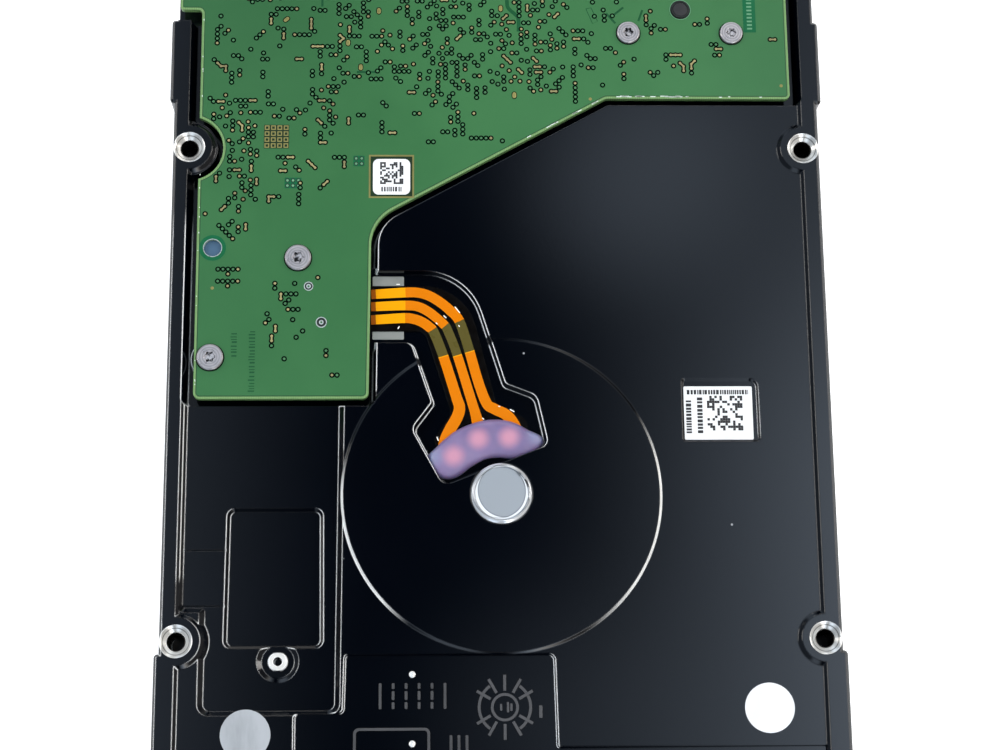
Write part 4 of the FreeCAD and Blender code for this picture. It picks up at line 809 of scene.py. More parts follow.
def add_sky():
    """Studio surroundings: dark overhead, with broad soft panels to both sides."""
    world = bpy.data.worlds.new("studio")
    world.use_nodes = True
    bpy.context.scene.world = world
    sky = Nodes(world.node_tree, "Generated")
    axes = sky.axes(sky.place)
    x, y = axes["X"], axes["Y"]
    right = sky.product(
        sky.ramp(x, 0.045, 0.34, 0.0, 4.6),
        sky.rest(sky.ramp(y, 0.19, 0.34, 0.0, 0.6)),
        sky.rest(sky.ramp(x, 0.26, 0.52, 0.0, 0.92)),
    )
    left = sky.math("SUBTRACT", sky.ramp(x, -0.03, -0.25, 0.0, 1.4), sky.ramp(x, -0.4, -0.6, 0.0, 1.1))
    total = sky.math("ADD", sky.math("ADD", right, left), 0.004)
    for centre_x, centre_y, radius, gain in ((0.1, 0.335, 0.08, 1.3), (0.07, 0.075, 0.1, 0.45)):
        away = sky.away_from_line(centre_x, centre_y)
        total = sky.math("ADD", total, sky.ramp(away, radius, 0.1 * radius, 0.0, gain))
    tint = sky.mix(sky.ramp(x, 0.18, 0.36), (0.7, 0.83, 1.0, 1.0), WARM_WHITE + (1.0,))
    background = world.node_tree.nodes["Background"]
    sky.feed(background.inputs["Color"], tint)
    sky.feed(background.inputs["Strength"], total)


def light_studio():
    add_sky()
    add_softbox("left_softbox", (-1.25, 0.35, 0.9), (0.7, 0.7), 11.0)
    add_softbox("right_softbox", (1.25, 0.35, 0.9), (0.7, 0.7), 12.0)
    add_softbox("back_softbox", (0.1, 1.35, 0.75), (0.9, 0.14), 3.0)
    add_softbox("front_softbox", (0.0, -1.5, 1.0), (0.9, 0.14), 0.6)


# ---------------------------------------------------------------- circuit board

BARE_EDGE, EDGE_LINE = 0.36, 0.14


def board_face():
    """The board's top faces from the CAD model, as a new bmesh."""
    face = bmesh.new()
    face.from_mesh(NODES["circuit_board"].data)
    bmesh.ops.remove_doubles(face, verts=face.verts, dist=0.002 * MM)
    below = [f for f in face.faces if f.normal.z < 0.99 or f.calc_center_median().z < (BOARD_TOP - 0.1) * MM]
    bmesh.ops.delete(face, geom=below, context="FACES")
    return face


def lower_copy(mesh, faces, z_low):
    """Closes a sheet of faces downwards, to a level."""
    made = bmesh.ops.extrude_face_region(mesh, geom=faces, use_keep_orig=True)
    for vert in [g for g in made["geom"] if isinstance(g, bmesh.types.BMVert)]:
        vert.co.z = z_low * MM
    bmesh.ops.recalc_face_normals(mesh, faces=mesh.faces)


def inset(face, width):
    """Draws the boundary of a sheet in; returns the new faces along it."""
    return bmesh.ops.inset_region(face, faces=list(face.faces), thickness=width * MM, use_boundary=True,
                                  use_even_offset=True)["faces"]


def add_solder_mask():
    """The green coat, set back from the board's edge, and the dark line just inside that edge."""
    face = board_face()
    bmesh.ops.delete(face, geom=inset(face, BARE_EDGE), context="FACES")
    rim_indices = {f.index for f in inset(face, EDGE_LINE)}
    for name, material, is_rim, top in (
        ("solder_mask", mask_material(), False, MASK_TOP),
        ("mask_edge_line", finish("mask_edge"), True, MASK_FOOT),
    ):
        part = face.copy()
        drop = [f for f in part.faces if (f.index in rim_indices) != is_rim]
        bmesh.ops.delete(part, geom=drop, context="FACES")
        for vert in part.verts:
            vert.co.z = top * MM
        lower_copy(part, list(part.faces), BOARD_TOP)
        mesh = bpy.data.meshes.new(name)
        part.to_mesh(mesh)
        part.free()
        dress(mesh, name, material)
    face.free()


# Where plated holes and bare pads crowd: x and y ranges, how many chains, and the share of pads
VIA_FIELDS = (
    (-44.5, -27.0, 44.5, 57.2, 30, 0.42), (-45.0, -37.0, 34.5, 41.0, 24, 0.5),
    (-45.0, -36.5, 26.5, 34.0, 17, 0.6), (-36.0, -25.0, 33.5, 42.5, 20, 0.45),
    (-36.0, -25.0, 24.5, 31.5, 9, 0.5), (-45.0, -35.0, 18.5, 26.0, 12, 0.45),
    (-35.5, -24.0, -5.2, 12.0, 16, 0.36), (-26.0, -14.5, 43.0, 57.2, 38, 0.22),
    (-14.5, 0.4, 41.0, 57.2, 74, 0.22), (-24.0, 1.0, 33.0, 40.0, 17, 0.28),
    (0.8, 9.2, 41.2, 56.8, 56, 0.46), (9.2, 20.0, 42.8, 56.9, 26, 0.2),
    (20.5, 44.0, 44.8, 56.9, 16, 0.6), (-47.0, 0.0, 58.6, 67.0, 60, 0.3),
    (0.8, 24.0, 57.4, 63.5, 34, 0.3), (25.0, 44.0, 58.5, 63.5, 8, 0.4),
)
# Two rows of linked holes beside the tooling hole
VIA_COMBS = ((-42.8, 12.7), (-42.8, 10.8))
GOLD_OVALS = ((-33.0, 53.7, 40), (-18.5, 55.2, 90), (-23.3, 49.8, 90), (-21.3, 45.7, 90), (0.7, 55.7, 90),
              (2.7, 41.1, 90))
VIA_R, VIA_CAP_R = 0.43, 0.22
VIA_ROOM = 0.42
VIA_PITCH = 0.76
CHAIN_LENGTHS = (1, 1, 1, 2, 2, 2, 2, 3, 3, 4, 5)
CHAIN_HEADINGS = (0, 0, 0, 0, 270, 270, 270, 270, 315, 315, 45, 90, 225)
# How often a chain turns, and how often its bare pads are at its far end
TURN_SHARE, FAR_END_SHARE = 0.4, 0.5
START_TRIES, STEP_TRIES = 12, 4


class Vias:
    """Chains of plated holes and bare pads, kept apart from each other and from what else is there."""

    def __init__(self, seed, keep_clear):
        self.random = random.Random(seed)
        self.taken = list(keep_clear)
        # The dark outlines round holes, pads and screw heads are painted shade.
        self.rims, self.caps, self.pads, self.gold = Solid(), Solid(), Solid(), Solid()

    def free(self, x, y, room=VIA_ROOM):
        return all(math.hypot(x - tx, y - ty) > room + tr for tx, ty, tr in self.taken)

    def hole(self, x, y, bare):
        centre = (x, y)
        self.rims.washer(centre, VIA_R, VIA_CAP_R - 0.02, MASK_FOOT, MASK_TOP + 0.02, 16)
        target = self.pads if bare else self.caps
        target.slab(circle(centre, VIA_CAP_R, 14), MASK_FOOT, MASK_TOP + 0.045, 0.03, 0.6)

    def chain(self, spots, bare_flags):
        for i, (x, y) in enumerate(spots):
            self.hole(x, y, bare_flags[i])
            link = [spots[i - 1], (x, y)]
            if i and bare_flags[i] and bare_flags[i - 1]:
                self.rims.ribbon(link, MASK_FOOT, MASK_TOP + 0.015, 0.7)
                self.pads.ribbon(link, MASK_FOOT, MASK_TOP + 0.035, 0.26)
            elif i:
                self.rims.ribbon(link, MASK_FOOT, MASK_TOP + 0.012, 0.3)
        self.taken += [(x, y, VIA_ROOM) for x, y in spots]

    def oval(self, x, y, degrees):
        """A long gold pad with a dark outline of painted shade."""
        length, width, rim, room = 1.0, 0.56, 0.13, 0.6
        outer = capsule((x, y), length + 2 * rim, width + 2 * rim, degrees)
        inner = capsule((x, y), length - 0.02, width - 0.02, degrees)
        self.rims.tube(outer, inner, MASK_FOOT, MASK_TOP + 0.02)
        self.gold.slab(capsule((x, y), length, width, degrees), MASK_FOOT, MASK_TOP + 0.05, 0.03, 0.8)
        self.taken.append((x, y, room))

    def grow(self, x, y, bare):
        """A chain from a start, turning now and then, with its bare pads at one end."""
        draw = self.random
        spots = [(x, y)]
        heading = draw.choice(CHAIN_HEADINGS)
        for _ in range(draw.choice(CHAIN_LENGTHS) - 1):
            for _ in range(STEP_TRIES):
                x, y = towards(spots[-1], VIA_PITCH, heading)
                apart = all(math.hypot(x - sx, y - sy) > VIA_PITCH * 0.9 for sx, sy in spots[:-1])
                if apart and self.free(x, y):
                    spots.append((x, y))
                    break
                heading = draw.choice(CHAIN_HEADINGS)
            if draw.random() < TURN_SHARE:
                heading = draw.choice(CHAIN_HEADINGS)
        count = sum(draw.random() < bare for _ in spots)
        flags = [i < count for i in range(len(spots))]
        if draw.random() < FAR_END_SHARE:
            flags.reverse()
        self.chain(spots, flags)

    def field(self, x_low, x_high, y_low, y_high, chains, bare):
        for _ in range(chains):
            for _ in range(START_TRIES):
                x, y = self.random.uniform(x_low, x_high), self.random.uniform(y_low, y_high)
                if self.free(x, y, 0.5):
                    self.grow(x, y, bare)
                    break


def places_kept_clear():
    """Circles (x, y, radius) that no plated hole may enter."""
    strip_x = (REVISION_STRIP[0] + REVISION_STRIP[1]) / 2
    places = [TOOLING_HOLE + (2.0,), BOARD_PIN + (1.7,), PAD_GRID + (2.5,)]
    places += [(x, y, radius + 0.3) for x, y, radius in SCREW_HEADS + list(RING_VIAS)]
    places += [(strip_x, y, 1.2) for y in (52.5, 54.5, 56.5, 58.5, 60.0)]
    places += [(x, y, 0.6) for x, y in FIDUCIALS]
    places += [(x, y, 1.0) for x, y, _, _ in PATCH_GRIDS]
    places += [(x, y, BOARD_NOTCH_R + 0.4) for x, y in HOLES]
    places += [(x, y - 0.5 * i, 1.2) for x, y, length in PRINT_COLUMNS for i in range(int(length * 2))]
    return places


def add_vias():
    vias = Vias(11, places_kept_clear())
    for x, y, degrees in GOLD_OVALS:
        vias.oval(x, y, degrees)
    for x, y in VIA_COMBS:
        vias.chain([(x + VIA_PITCH * i, y) for i in range(5)], [False] * 4 + [True])
        vias.chain([(x + VIA_PITCH * 2, y - VIA_PITCH)], [True])
    for field in VIA_FIELDS:
        vias.field(*field)
    # Painted contact shadow: a dark ring round each screw head.
    for x, y, radius in SCREW_HEADS:
        vias.rims.washer((x, y), radius + 0.17, radius - 0.3, BOARD_TOP, MASK_TOP + 0.01, 48)
    vias.rims.piece("via_rims", "via_shade", "board_green")
    vias.caps.piece("via_caps", "via_cap", "board_green", smooth_shaded=True)
    vias.pads.piece("test_pads", "tinned_pad", "stiffener_steel")
    vias.gold.piece("gold_pads", "gold_finish", "gold_contact")


def draw_gold_marks(gold, ground):
    """The label's frame, the alignment marks and the square of test pads, on dark ground."""
    x_low, x_high, y_low, y_high = LABEL_FRAME
    wall, cell = 0.26, 0.98
    inner = rectangle(x_low + wall, x_high - wall, y_low + wall, y_high - wall)
    gold.tube(rectangle(*LABEL_FRAME), inner, BOARD_TOP, MASK_TOP + 0.03)
    ground.slab(inner, BOARD_TOP, MASK_TOP + 0.01)
    for place in FIDUCIALS:
        gold.slab(circle(place, 0.26), BOARD_TOP, MASK_TOP + 0.03, 0.01)
    pads = 4
    for i in range(pads):
        for j in range(pads):
            across, up = ((k - (pads - 1) / 2) * cell for k in (i, j))
            place = (PAD_GRID[0] + across, PAD_GRID[1] + up)
            gold.tube(square(place, 0.37), square(place, 0.2), MASK_TOP, MASK_TOP + 0.03)
    ground.slab(square(PAD_GRID, cell * pads / 2 - 0.02), BOARD_TOP, MASK_TOP + 0.01)


def draw_ringed_holes(silver, shade_rings, deep, pale):
    """The tooling hole, two ringed holes and the collar of the locating pin; dark rings of painted shade
    stand in the ringed holes and round the pin.
    """
    silver.washer(TOOLING_HOLE, TOOLING_HOLE_R + 0.12, TOOLING_HOLE_R + 0.01, HOLE_FLOOR, MASK_TOP + 0.02, 40)
    deep.washer(TOOLING_HOLE, TOOLING_HOLE_R + 0.71, TOOLING_HOLE_R + 0.12, BOARD_TOP, MASK_TOP + 0.015, 40)
    for x, y, radius in RING_VIAS:
        silver.washer((x, y), radius, radius - 0.14, BOARD_TOP, MASK_TOP + 0.04, 28)
        shade_rings.washer((x, y), radius - 0.14, 0.36, BOARD_TOP, MASK_TOP + 0.02)
        silver.washer((x, y), 0.36, 0.16, BOARD_TOP, MASK_TOP + 0.03, 16)
    pale.washer(BOARD_PIN, BOARD_PIN_R + 0.1, BOARD_PIN_R, BOARD_TOP, MASK_TOP + 0.02, 40)
    shade_rings.washer(BOARD_PIN, BOARD_PIN_R, 1.2, BOARD_TOP, MASK_TOP + 0.01, 40)
    pin_top = top_of("board_pin")
    shade_rings.washer(BOARD_PIN, 1.44, 1.22, pin_top - 0.05, pin_top + 0.012, 40)


def draw_patches(shade_rings, deep, pale):
    """Dark green patches: small squares of dark pads, and a strip with a column of pale bars."""
    pitch, margin = 0.85, 0.45
    for x, y, count_x, count_y in PATCH_GRIDS:
        right, low = x + pitch * (count_x - 1), y - pitch * (count_y - 1)
        patch = rectangle(x - margin, right + margin, low - margin, y + margin, 0.15)
        deep.slab(patch, BOARD_TOP, MASK_TOP + 0.006)
        for i in range(count_x):
            for j in range(count_y):
                place = (x + i * pitch, y - j * pitch)
                # Painted shade: a dark ring round each pad.
                shade_rings.washer(place, 0.34, 0.2, MASK_FOOT, MASK_TOP + 0.02, 12)
                pale.slab(circle(place, 0.22, 12), MASK_FOOT, MASK_TOP + 0.015)
    x_low, x_high, y_low, y_high = REVISION_STRIP
    deep.slab(rectangle(*REVISION_STRIP), BOARD_TOP, MASK_TOP + 0.012)
    bar, bar_pitch, side = 0.28, 0.62, 0.6
    y = y_low + 0.5
    while y < y_high - side:
        pale.slab(rectangle(x_low + side, x_high - side, y, y + bar), MASK_TOP, MASK_TOP + 0.02)
        y += bar_pitch


def add_board_marks():
    gold, ground, silver, shade_rings, deep, pale = (Solid() for _ in range(6))
    draw_gold_marks(gold, ground)
    draw_ringed_holes(silver, shade_rings, deep, pale)
    draw_patches(shade_rings, deep, pale)
    gold.piece("gold_marks", "gold_finish", "gold_contact")
    ground.piece("dark_patches", "dark_ground", "board_green")
    backing = Solid()
    backing.slab(circle(TOOLING_HOLE, TOOLING_HOLE_R, 32), HOLE_FLOOR, HOLE_FLOOR + 0.1)
    backing.piece("hole_backing", "blued_backing", "stiffener_steel")
    silver.piece("plated_rings", "plated_ring", "stiffener_steel")
    shade_rings.piece("painted_shade_rings", "ring_shade", "board_green")
    deep.piece("mask_patches", "deep_green", "board_green")
    pale.piece("pale_marks", "pale_mark", "board_green")


# Short straight tracks: middle, length and heading
TRACK_STUBS = ((19.2, 55.2, 2.4, 40), (18.1, 54.1, 2.2, -50), (22.8, 54.6, 2.0, 70),
               (-27.4, 56.9, 2.0, 90), (-20.4, 44.9, 3.0, 0))


def add_tracks():
    """Wide tracks, patches and an outline that show through the mask."""
    lines = Solid()
    z_high = MASK_TOP + 0.008
    bend = smooth([(1.7, 57.2), (1.9, 55.8), (3.2, 54.5), (3.5, 53.8), (3.5, 51.8)], 6)
    lines.ribbon(bend, MASK_FOOT, z_high, 0.6)
    outline = [(14.2, 55.7), (15.0, 55.9), (16.0, 53.6), (15.2, 53.2), (14.2, 55.7)]
    lines.ribbon(outline, MASK_FOOT, z_high, 0.12)
    for x, y, length, degrees in TRACK_STUBS:
        stub = [towards((x, y), reach, degrees) for reach in (-length / 2, length / 2)]
        lines.ribbon(stub, MASK_FOOT, z_high - 0.002, 0.34)
    lines.piece("board_tracks", "covered_track", "board_green")


# Stretches of the board's edge with painted glare: start, end, how many dashes of painted highlight and their
# size
GLARE_STRETCHES = (
    ((-45.9, 54.0), (-45.9, 40.0), 5, 0.3), ((-45.9, 28.0), (-45.9, -6.0), 12, 0.3),
    ((19.0, 40.95), (29.0, 40.95), 16, 1.3), ((29.0, 40.9), (44.0, 40.9), 5, 0.6),
    ((3.0, 33.2), (15.5, 40.0), 9, 1.2),
)


# Painted highlight: short pale dashes of glare along the board's edge.
def add_edge_glare():
    draw = random.Random(5)
    glare_dashes = Solid()
    for (x_start, y_start), (x_end, y_end), count, size in GLARE_STRETCHES:
        heading = math.degrees(math.atan2(y_end - y_start, x_end - x_start))
        for _ in range(count):
            t = draw.random()
            across = draw.uniform(-0.06, 0.06)
            place = (x_start + (x_end - x_start) * t + across, y_start + (y_end - y_start) * t + across)
            length = draw.uniform(0.5, 1.0) * size
            glare_dashes.slab(capsule(place, length, 0.13, heading, 3), BOARD_TOP, MASK_TOP + 0.02)
    glare_dashes.piece("edge_glare", "glare_white", "board_green")


# ---------------------------------------------------------------- print


def random_steps(draw, start, end, shortest, longest, gap=0.0):
    """Steps of random sizes from start to end: where each begins, and its size."""
    at = start
    while at < end:
        size = draw.uniform(shortest, longest)
        yield at, size
        at += size + gap


def scatter_cells(draw, marks, corner, count, pitch, size, share, z_low, z_high):
    """A square pattern of cells, of which a share is filled at random."""
    for i in range(count):
        for j in range(count):
            if draw.random() < share:
                x, y = corner[0] + i * pitch, corner[1] + j * pitch
                marks.slab(rectangle(x, x + size, y, y + size), z_low, z_high)


def add_board_print():
    """Generic dark dashes in two columns on the mask."""
    draw = random.Random(9)
    dashes = Solid()
    for x, top, length in PRINT_COLUMNS:
        for down, height in random_steps(draw, 0.0, length, 0.35, 0.7):
            y, left = top - down, x - draw.uniform(0.25, 0.5)
            dashes.slab(rectangle(left, x + 0.5, y - height * 0.4, y), MASK_FOOT, MASK_TOP + 0.01)
    dashes.piece("board_print", "covered_track", "board_green")


def add_label_print():
    """Generic marks: a patch of scattered cells and rows of dashes on each label."""
    draw = random.Random(7)
    cells = Solid()

    def patch(corner, size, count, z):
        pitch = size / count
        scatter_cells(draw, cells, corner, count, pitch, pitch * 0.98, 0.46, z - 0.005, z + 0.004)

    def row(x_low, x_high, y, height, z, share=0.7):
        for x, width in random_steps(draw, x_low, x_high, 0.25, 0.6):
            cells.slab(rectangle(x, min(x + width * share, x_high), y, y + height), z - 0.005, z + 0.004)

    patch((-18.2, 26.4), 3.6, 12, LABEL_TOP)
    row(-18.0, -14.8, 25.2, 0.75, LABEL_TOP, 0.6)
    patch((31.3, -12.6), 5.4, 14, CASTING_LABEL_TOP)
    row(28.3, 37.6, -7.0, 0.7, CASTING_LABEL_TOP)
    z_low, z_high = CASTING_LABEL_TOP - 0.005, CASTING_LABEL_TOP + 0.004
    for x in (28.1, 29.8):
        for y, height in random_steps(draw, -13.0, -7.9, 0.35, 0.7):
            cells.slab(rectangle(x, x + 0.8, y, y + height * 0.7), z_low, z_high)
    cells.piece("label_print", "label_ink", "white_paper")


# How far the rows of small print on the cover's label run, or stop short of its right margin
FIRST_ROWS = (34, 30, 38, 26, 36, 32, 28, 37, 24)
LAST_ROWS_SHORT = (8, 14, 4, 20, 9, 16, 26)


def add_cover_print():
    """Generic marks on the cover's label: rows of dashes, a heading bar and a band of stripes."""
    draw = random.Random(3)
    low, high = (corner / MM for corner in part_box("cover_label"))
    marks = Solid()
    z_low, z_high = low.z - 0.004, low.z + 0.004
    clear_of_screws, margin = 5.0, 4.0
    left, right = low.x + margin, high.x - margin

    def row(x_end, down, height, longest, gap):
        y = high.y - down
        for x, width in random_steps(draw, left, x_end, 0.3 * longest, longest, gap):
            centre = (x + width / 2, y + height / 2)
            if all(math.dist(centre, axis) > clear_of_screws + longest / 2 for axis in (SPINDLE, PIVOT)):
                marks.slab(rectangle(x, min(x + width, x_end), y, y + height), z_low, z_high)

    row(left + 26, 9.0, 3.4, 3.2, 0.5)
    for i, length in enumerate(FIRST_ROWS):
        row(left + length, 14.5 + 2.6 * i, 1.1, 1.6, 0.35)
    row(right - 6, 46.0, 6.0, 0.8, 0.35)
    for i, short in enumerate(LAST_ROWS_SHORT):
        row(right - short, 51.0 + 2.2 * i, 0.9, 1.3, 0.3)
    scatter_cells(draw, marks, (right - 14, high.y - 20), 11, 0.9, 0.88, 0.5, z_low, z_high)
    marks.piece("cover_print", "label_ink", "white_paper")


# ---------------------------------------------------------------- motor leads and ribbon

# Centre lines (x, y, width) of the three leads, from the board to the glue
LEADS = (
    ((-19.5, 9.0, 1.45), (-14.6, 9.3, 1.55), (-12.5, 9.3, 1.55), (-10.8, 8.85, 1.55), (-9.1, 7.85, 1.55),
     (-7.5, 6.5, 1.55), (-6.05, 4.75, 1.52), (-4.65, 0.4, 1.5), (-3.25, -4.7, 1.52), (-2.0, -8.1, 1.6),
     (-0.9, -8.95, 1.65), (1.0, -9.95, 1.7), (2.2, -11.6, 1.75), (2.7, -13.2, 1.75)),
    ((-19.5, 7.05, 1.4), (-14.6, 7.25, 1.5), (-12.5, 7.1, 1.5), (-10.9, 6.35, 1.48), (-9.5, 5.25, 1.46),
     (-8.3, 4.1, 1.42), (-7.8, 3.2, 1.4), (-6.55, -0.1, 1.4), (-4.4, -7.3, 1.45), (-3.6, -10.1, 1.6),
     (-3.0, -12.6, 2.2)),
    ((-19.5, 4.95, 1.45), (-14.6, 5.25, 1.55), (-13.0, 5.1, 1.55), (-11.7, 4.6, 1.55), (-10.6, 3.8, 1.55),
     (-9.9, 2.9, 1.52), (-8.5, -0.8, 1.52), (-6.6, -7.0, 1.6), (-6.1, -8.8, 1.7), (-6.5, -10.3, 1.75),
     (-7.5, -12.1, 1.75), (-8.3, -13.9, 1.75), (-8.6, -15.6, 1.7)),
)
# Left of these, the leads are bright beside the board, and shaded by its edge
BRIGHT_X, SHADED_X = -14.4, -18.9
# The olive film over the leads: its upper end from left to right, then its lower end back
FILM_CORNERS = ((-10.7, 3.25), (-5.2, 5.15), (-3.75, 0.65), (-9.35, -1.05))
# Small painted glints on the leads and beside the tabs: place, length and heading
GLINTS = (
    (-6.35, 6.55, 1.3, -52), (-8.25, 5.45, 0.6, -45), (-9.5, 4.4, 0.4, -45), (-6.1, 4.0, 0.35, -60),
    (-0.1, -8.6, 0.35, 0), (1.85, -9.25, 0.8, -30), (-2.55, -10.5, 0.4, -40), (-15.4, 10.6, 0.6, 0),
    (-15.3, 3.75, 0.5, 60), (-9.4, -13.6, 0.7, -70),
)


def lead_kind(point):
    """How a lead looks at a point: under the film, bright, shaded or plain."""
    if point[0] < BRIGHT_X:
        return "shaded_leads" if point[0] < SHADED_X else "lead_ends"
    (ax, ay), (bx, by), (cx, cy), (dx, dy) = FILM_CORNERS
    above = (bx - ax) * (point[1] - ay) - (by - ay) * (point[0] - ax)
    below = (cx - dx) * (point[1] - dy) - (cy - dy) * (point[0] - dx)
    return "filmed_leads" if above < 0 < below else "motor_leads"


def lead_runs(lead):
    """A lead's smooth path, cut where its look changes: pairs of a kind and its points."""
    runs = []
    for point in smooth(lead, 10):
        kind = lead_kind(point)
        if runs and runs[-1][0] != kind:
            runs[-1][1].append(point)
        if not runs or runs[-1][0] != kind:
            runs.append((kind, []))
        runs[-1][1].append(point)
    return runs


def film_end(lead_end):
    """The film's lower end, as a bright line across a lead."""
    x, y, width = lead_end
    slope_x, slope_y = (FILM_CORNERS[2][i] - FILM_CORNERS[3][i] for i in (0, 1))
    share = width / 2 / math.hypot(slope_x, slope_y)
    return [(x - slope_x * share, y - slope_y * share), (x + slope_x * share, y + slope_y * share)]


def add_leads():
    z_low, z_high = FLEX_TOP, FLEX_TOP + 0.05
    finishes = {"motor_leads": "amber_lead", "lead_ends": "amber_lead_bright",
                "filmed_leads": "olive_lead", "shaded_leads": "shaded_lead"}
    stretches = {name: Solid() for name in finishes}
    for lead in LEADS:
        runs = lead_runs(lead)
        for kind, points in runs:
            stretches[kind].ribbon(points, z_low, z_high)
        filmed = next(points for kind, points in runs if kind == "filmed_leads")
        stretches["lead_ends"].ribbon(film_end(filmed[-1]), z_low, z_high + 0.01, 0.14)
    for name, stretch in stretches.items():
        stretch.piece(name, finishes[name], "polyimide")
    sheet = Solid()
    sheet.slab(FILM_CORNERS, z_low, z_low + 0.02)
    sheet.piece("lead_film", "olive_film", "flex_film")
    spots = Solid()
    for x, y, length, degrees in GLINTS:
        spots.slab(capsule((x, y), length, 0.17, degrees, 3), z_low, z_high + 0.02)
    spots.piece("lead_glints", "painted_glint", "polyimide")


GLUE_LINE = (
    (-10.9, -16.3), (-9.7, -15.0), (-8.6, -13.9), (-6.7, -12.4), (-4.6, -11.4), (-2.2, -10.75), (0.2, -10.7),
    (2.3, -11.2), (4.3, -12.3), (6.1, -13.2), (6.5, -14.3), (5.3, -15.75), (3.6, -16.5), (1.9, -16.75),
    (-0.4, -16.5), (-2.4, -16.8), (-4.4, -17.9), (-6.1, -19.2), (-7.7, -19.8), (-9.4, -19.4), (-10.6, -18.0),
)
GLUE_GLOWS = ((-7.0, -16.4, 25.4), (-3.3, -13.8, 25.4), (1.3, -13.6, 25.4))
# Pale spots on the glue: where it thins at its left end, and a painted highlight at its right tip.
GLUE_THIN_AND_LIT = ((5.6, -13.2, 25.0), (-10.2, -16.4, 25.0))


def inside(point, outline):
    """Whether a point lies inside a closed outline."""
    crossings = 0
    for i, (ax, ay) in enumerate(outline):
        bx, by = outline[i - 1]
        if (ay > point[1]) != (by > point[1]) and point[0] < (bx - ax) * (point[1] - ay) / (by - ay) + ax:
            crossings += 1
    return crossings % 2 == 1


def depth_inside(point, outline):
    """Distance from a point to the nearest side of an outline."""
    place, nearest = Vector(point), math.inf
    for i, corner in enumerate(outline):
        start, side = Vector(outline[i - 1]), Vector(corner) - Vector(outline[i - 1])
        share = min(1.0, max(0.0, (place - start).dot(side) / side.length_squared))
        nearest = min(nearest, (start + side * share - place).length)
    return nearest


def add_glue():
    """A flowing mound over an outline, steep at its edge and uneven on top."""
    foot, reach, rise, spacing = FLEX_TOP + 0.12, 2.3, 1.0, 0.3
    left, near, span = -12, -21, 22
    outline = smooth(GLUE_LINE, 5, closed=True)
    points = list(outline)
    for i in range(int(span / spacing)):
        for j in range(int(span / spacing)):
            point = (left + (i + 0.5 * (j % 2)) * spacing, near + j * spacing)
            if inside(point, outline) and depth_inside(point, outline) > spacing * 0.5:
                points.append(point)
    rim = list(range(len(outline)))
    verts, _, faces, *_ = delaunay_2d_cdt([Vector(p) for p in points], [], [rim], 1, 1e-6)
    mesh = bmesh.new()
    made = []
    for x, y in verts:
        share = 1 - min(depth_inside((x, y), outline), reach) / reach
        swell = rise * math.sqrt(max(0.0, 1 - share ** 2.4)) * (1 + 0.07 * math.sin(1.3 * x + 0.6 * y))
        made.append(mesh.verts.new((x * MM, y * MM, (foot + swell) * MM)))
    top = [mesh.faces.new([made[i] for i in face]) for face in faces]
    lower_copy(mesh, top, FLEX_TOP - 0.2)
    data = bpy.data.meshes.new("glue_bead")
    mesh.to_mesh(data)
    mesh.free()
    bead = dress(data, "glue_bead", glue_material(), smooth_shaded=True)
    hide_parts("glue_seal")


# Where the arm's ribbon leaves the block, bows out and meets its bracket
RIBBON_START = (-12.8, 36.23)
RIBBON_BOW = (-5.2, 40.6)
RIBBON_END = (0.9, 38.4)
RIBBON_T = 0.15


def add_arm_ribbon():
    """The ribbon from the arm's block to its bracket, drawn as one fixed bow; the real one bends as the arm
    swings.
    """
    low, high = (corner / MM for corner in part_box("actuator_flex"))
    path = arc_through(RIBBON_START, RIBBON_BOW, RIBBON_END, RIBBON_T / 2, 28)
    film = Solid()
    film.ribbon(path, low.z, high.z, RIBBON_T)
    ribbon = film.piece("arm_ribbon", "amber_film", "polyimide", body=None)
    start, end = ((x * MM, y * MM, low.z * MM) for x, y in (RIBBON_START, RIBBON_END))
    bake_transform(ribbon)
    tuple(start)
    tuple(end)
    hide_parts("actuator_flex")


# ---------------------------------------------------------------- casting details


def add_threads():
    """The cut threads inside the four bottom mounting holes, darkened as painted shade."""
    pitch, depth, cut, around = 0.8, 5.4, 0.12, 36
    top = MOUNT_PLANE - 0.92
    levels = int(depth / pitch * 4)
    turns = Solid()
    for centre in HOLES:
        rings = []
        for level in range(levels + 1):
            z = top - depth + depth * level / levels
            ring = []
            for i in range(around):
                phase = (z / pitch - i / around) % 1.0
                radius = BORE_R - 0.03 - cut * (1 - abs(2 * phase - 1))
                ring.append(towards(centre, radius, 360 * i / around) + (z,))
            rings.append(ring)
        for z in (top, top - depth):
            rings.append([point + (z,) for point in circle(centre, BORE_R - 0.01, around)])
        turns.loft(rings, wrap=True)
    turns.piece("hole_threads", "shaded_thread", "screw_steel", smooth_shaded=True)


# The cast dial, and the plaque's frame
DIAL = (0.28, -53.73)
PLAQUE = (-21.75, -10.6, -66.0, -56.6)
MARK_WIDTH = 0.42
# The row of bars: its first x, its pitch, and a bar from end to end or in three parts
BAR_X, BAR_PITCH = -17.87, 1.888
WHOLE_BAR = ((-53.9, -50.15),)
CUT_BAR = ((-51.0, -50.15), (-52.6, -51.3), (-53.9, -52.9))


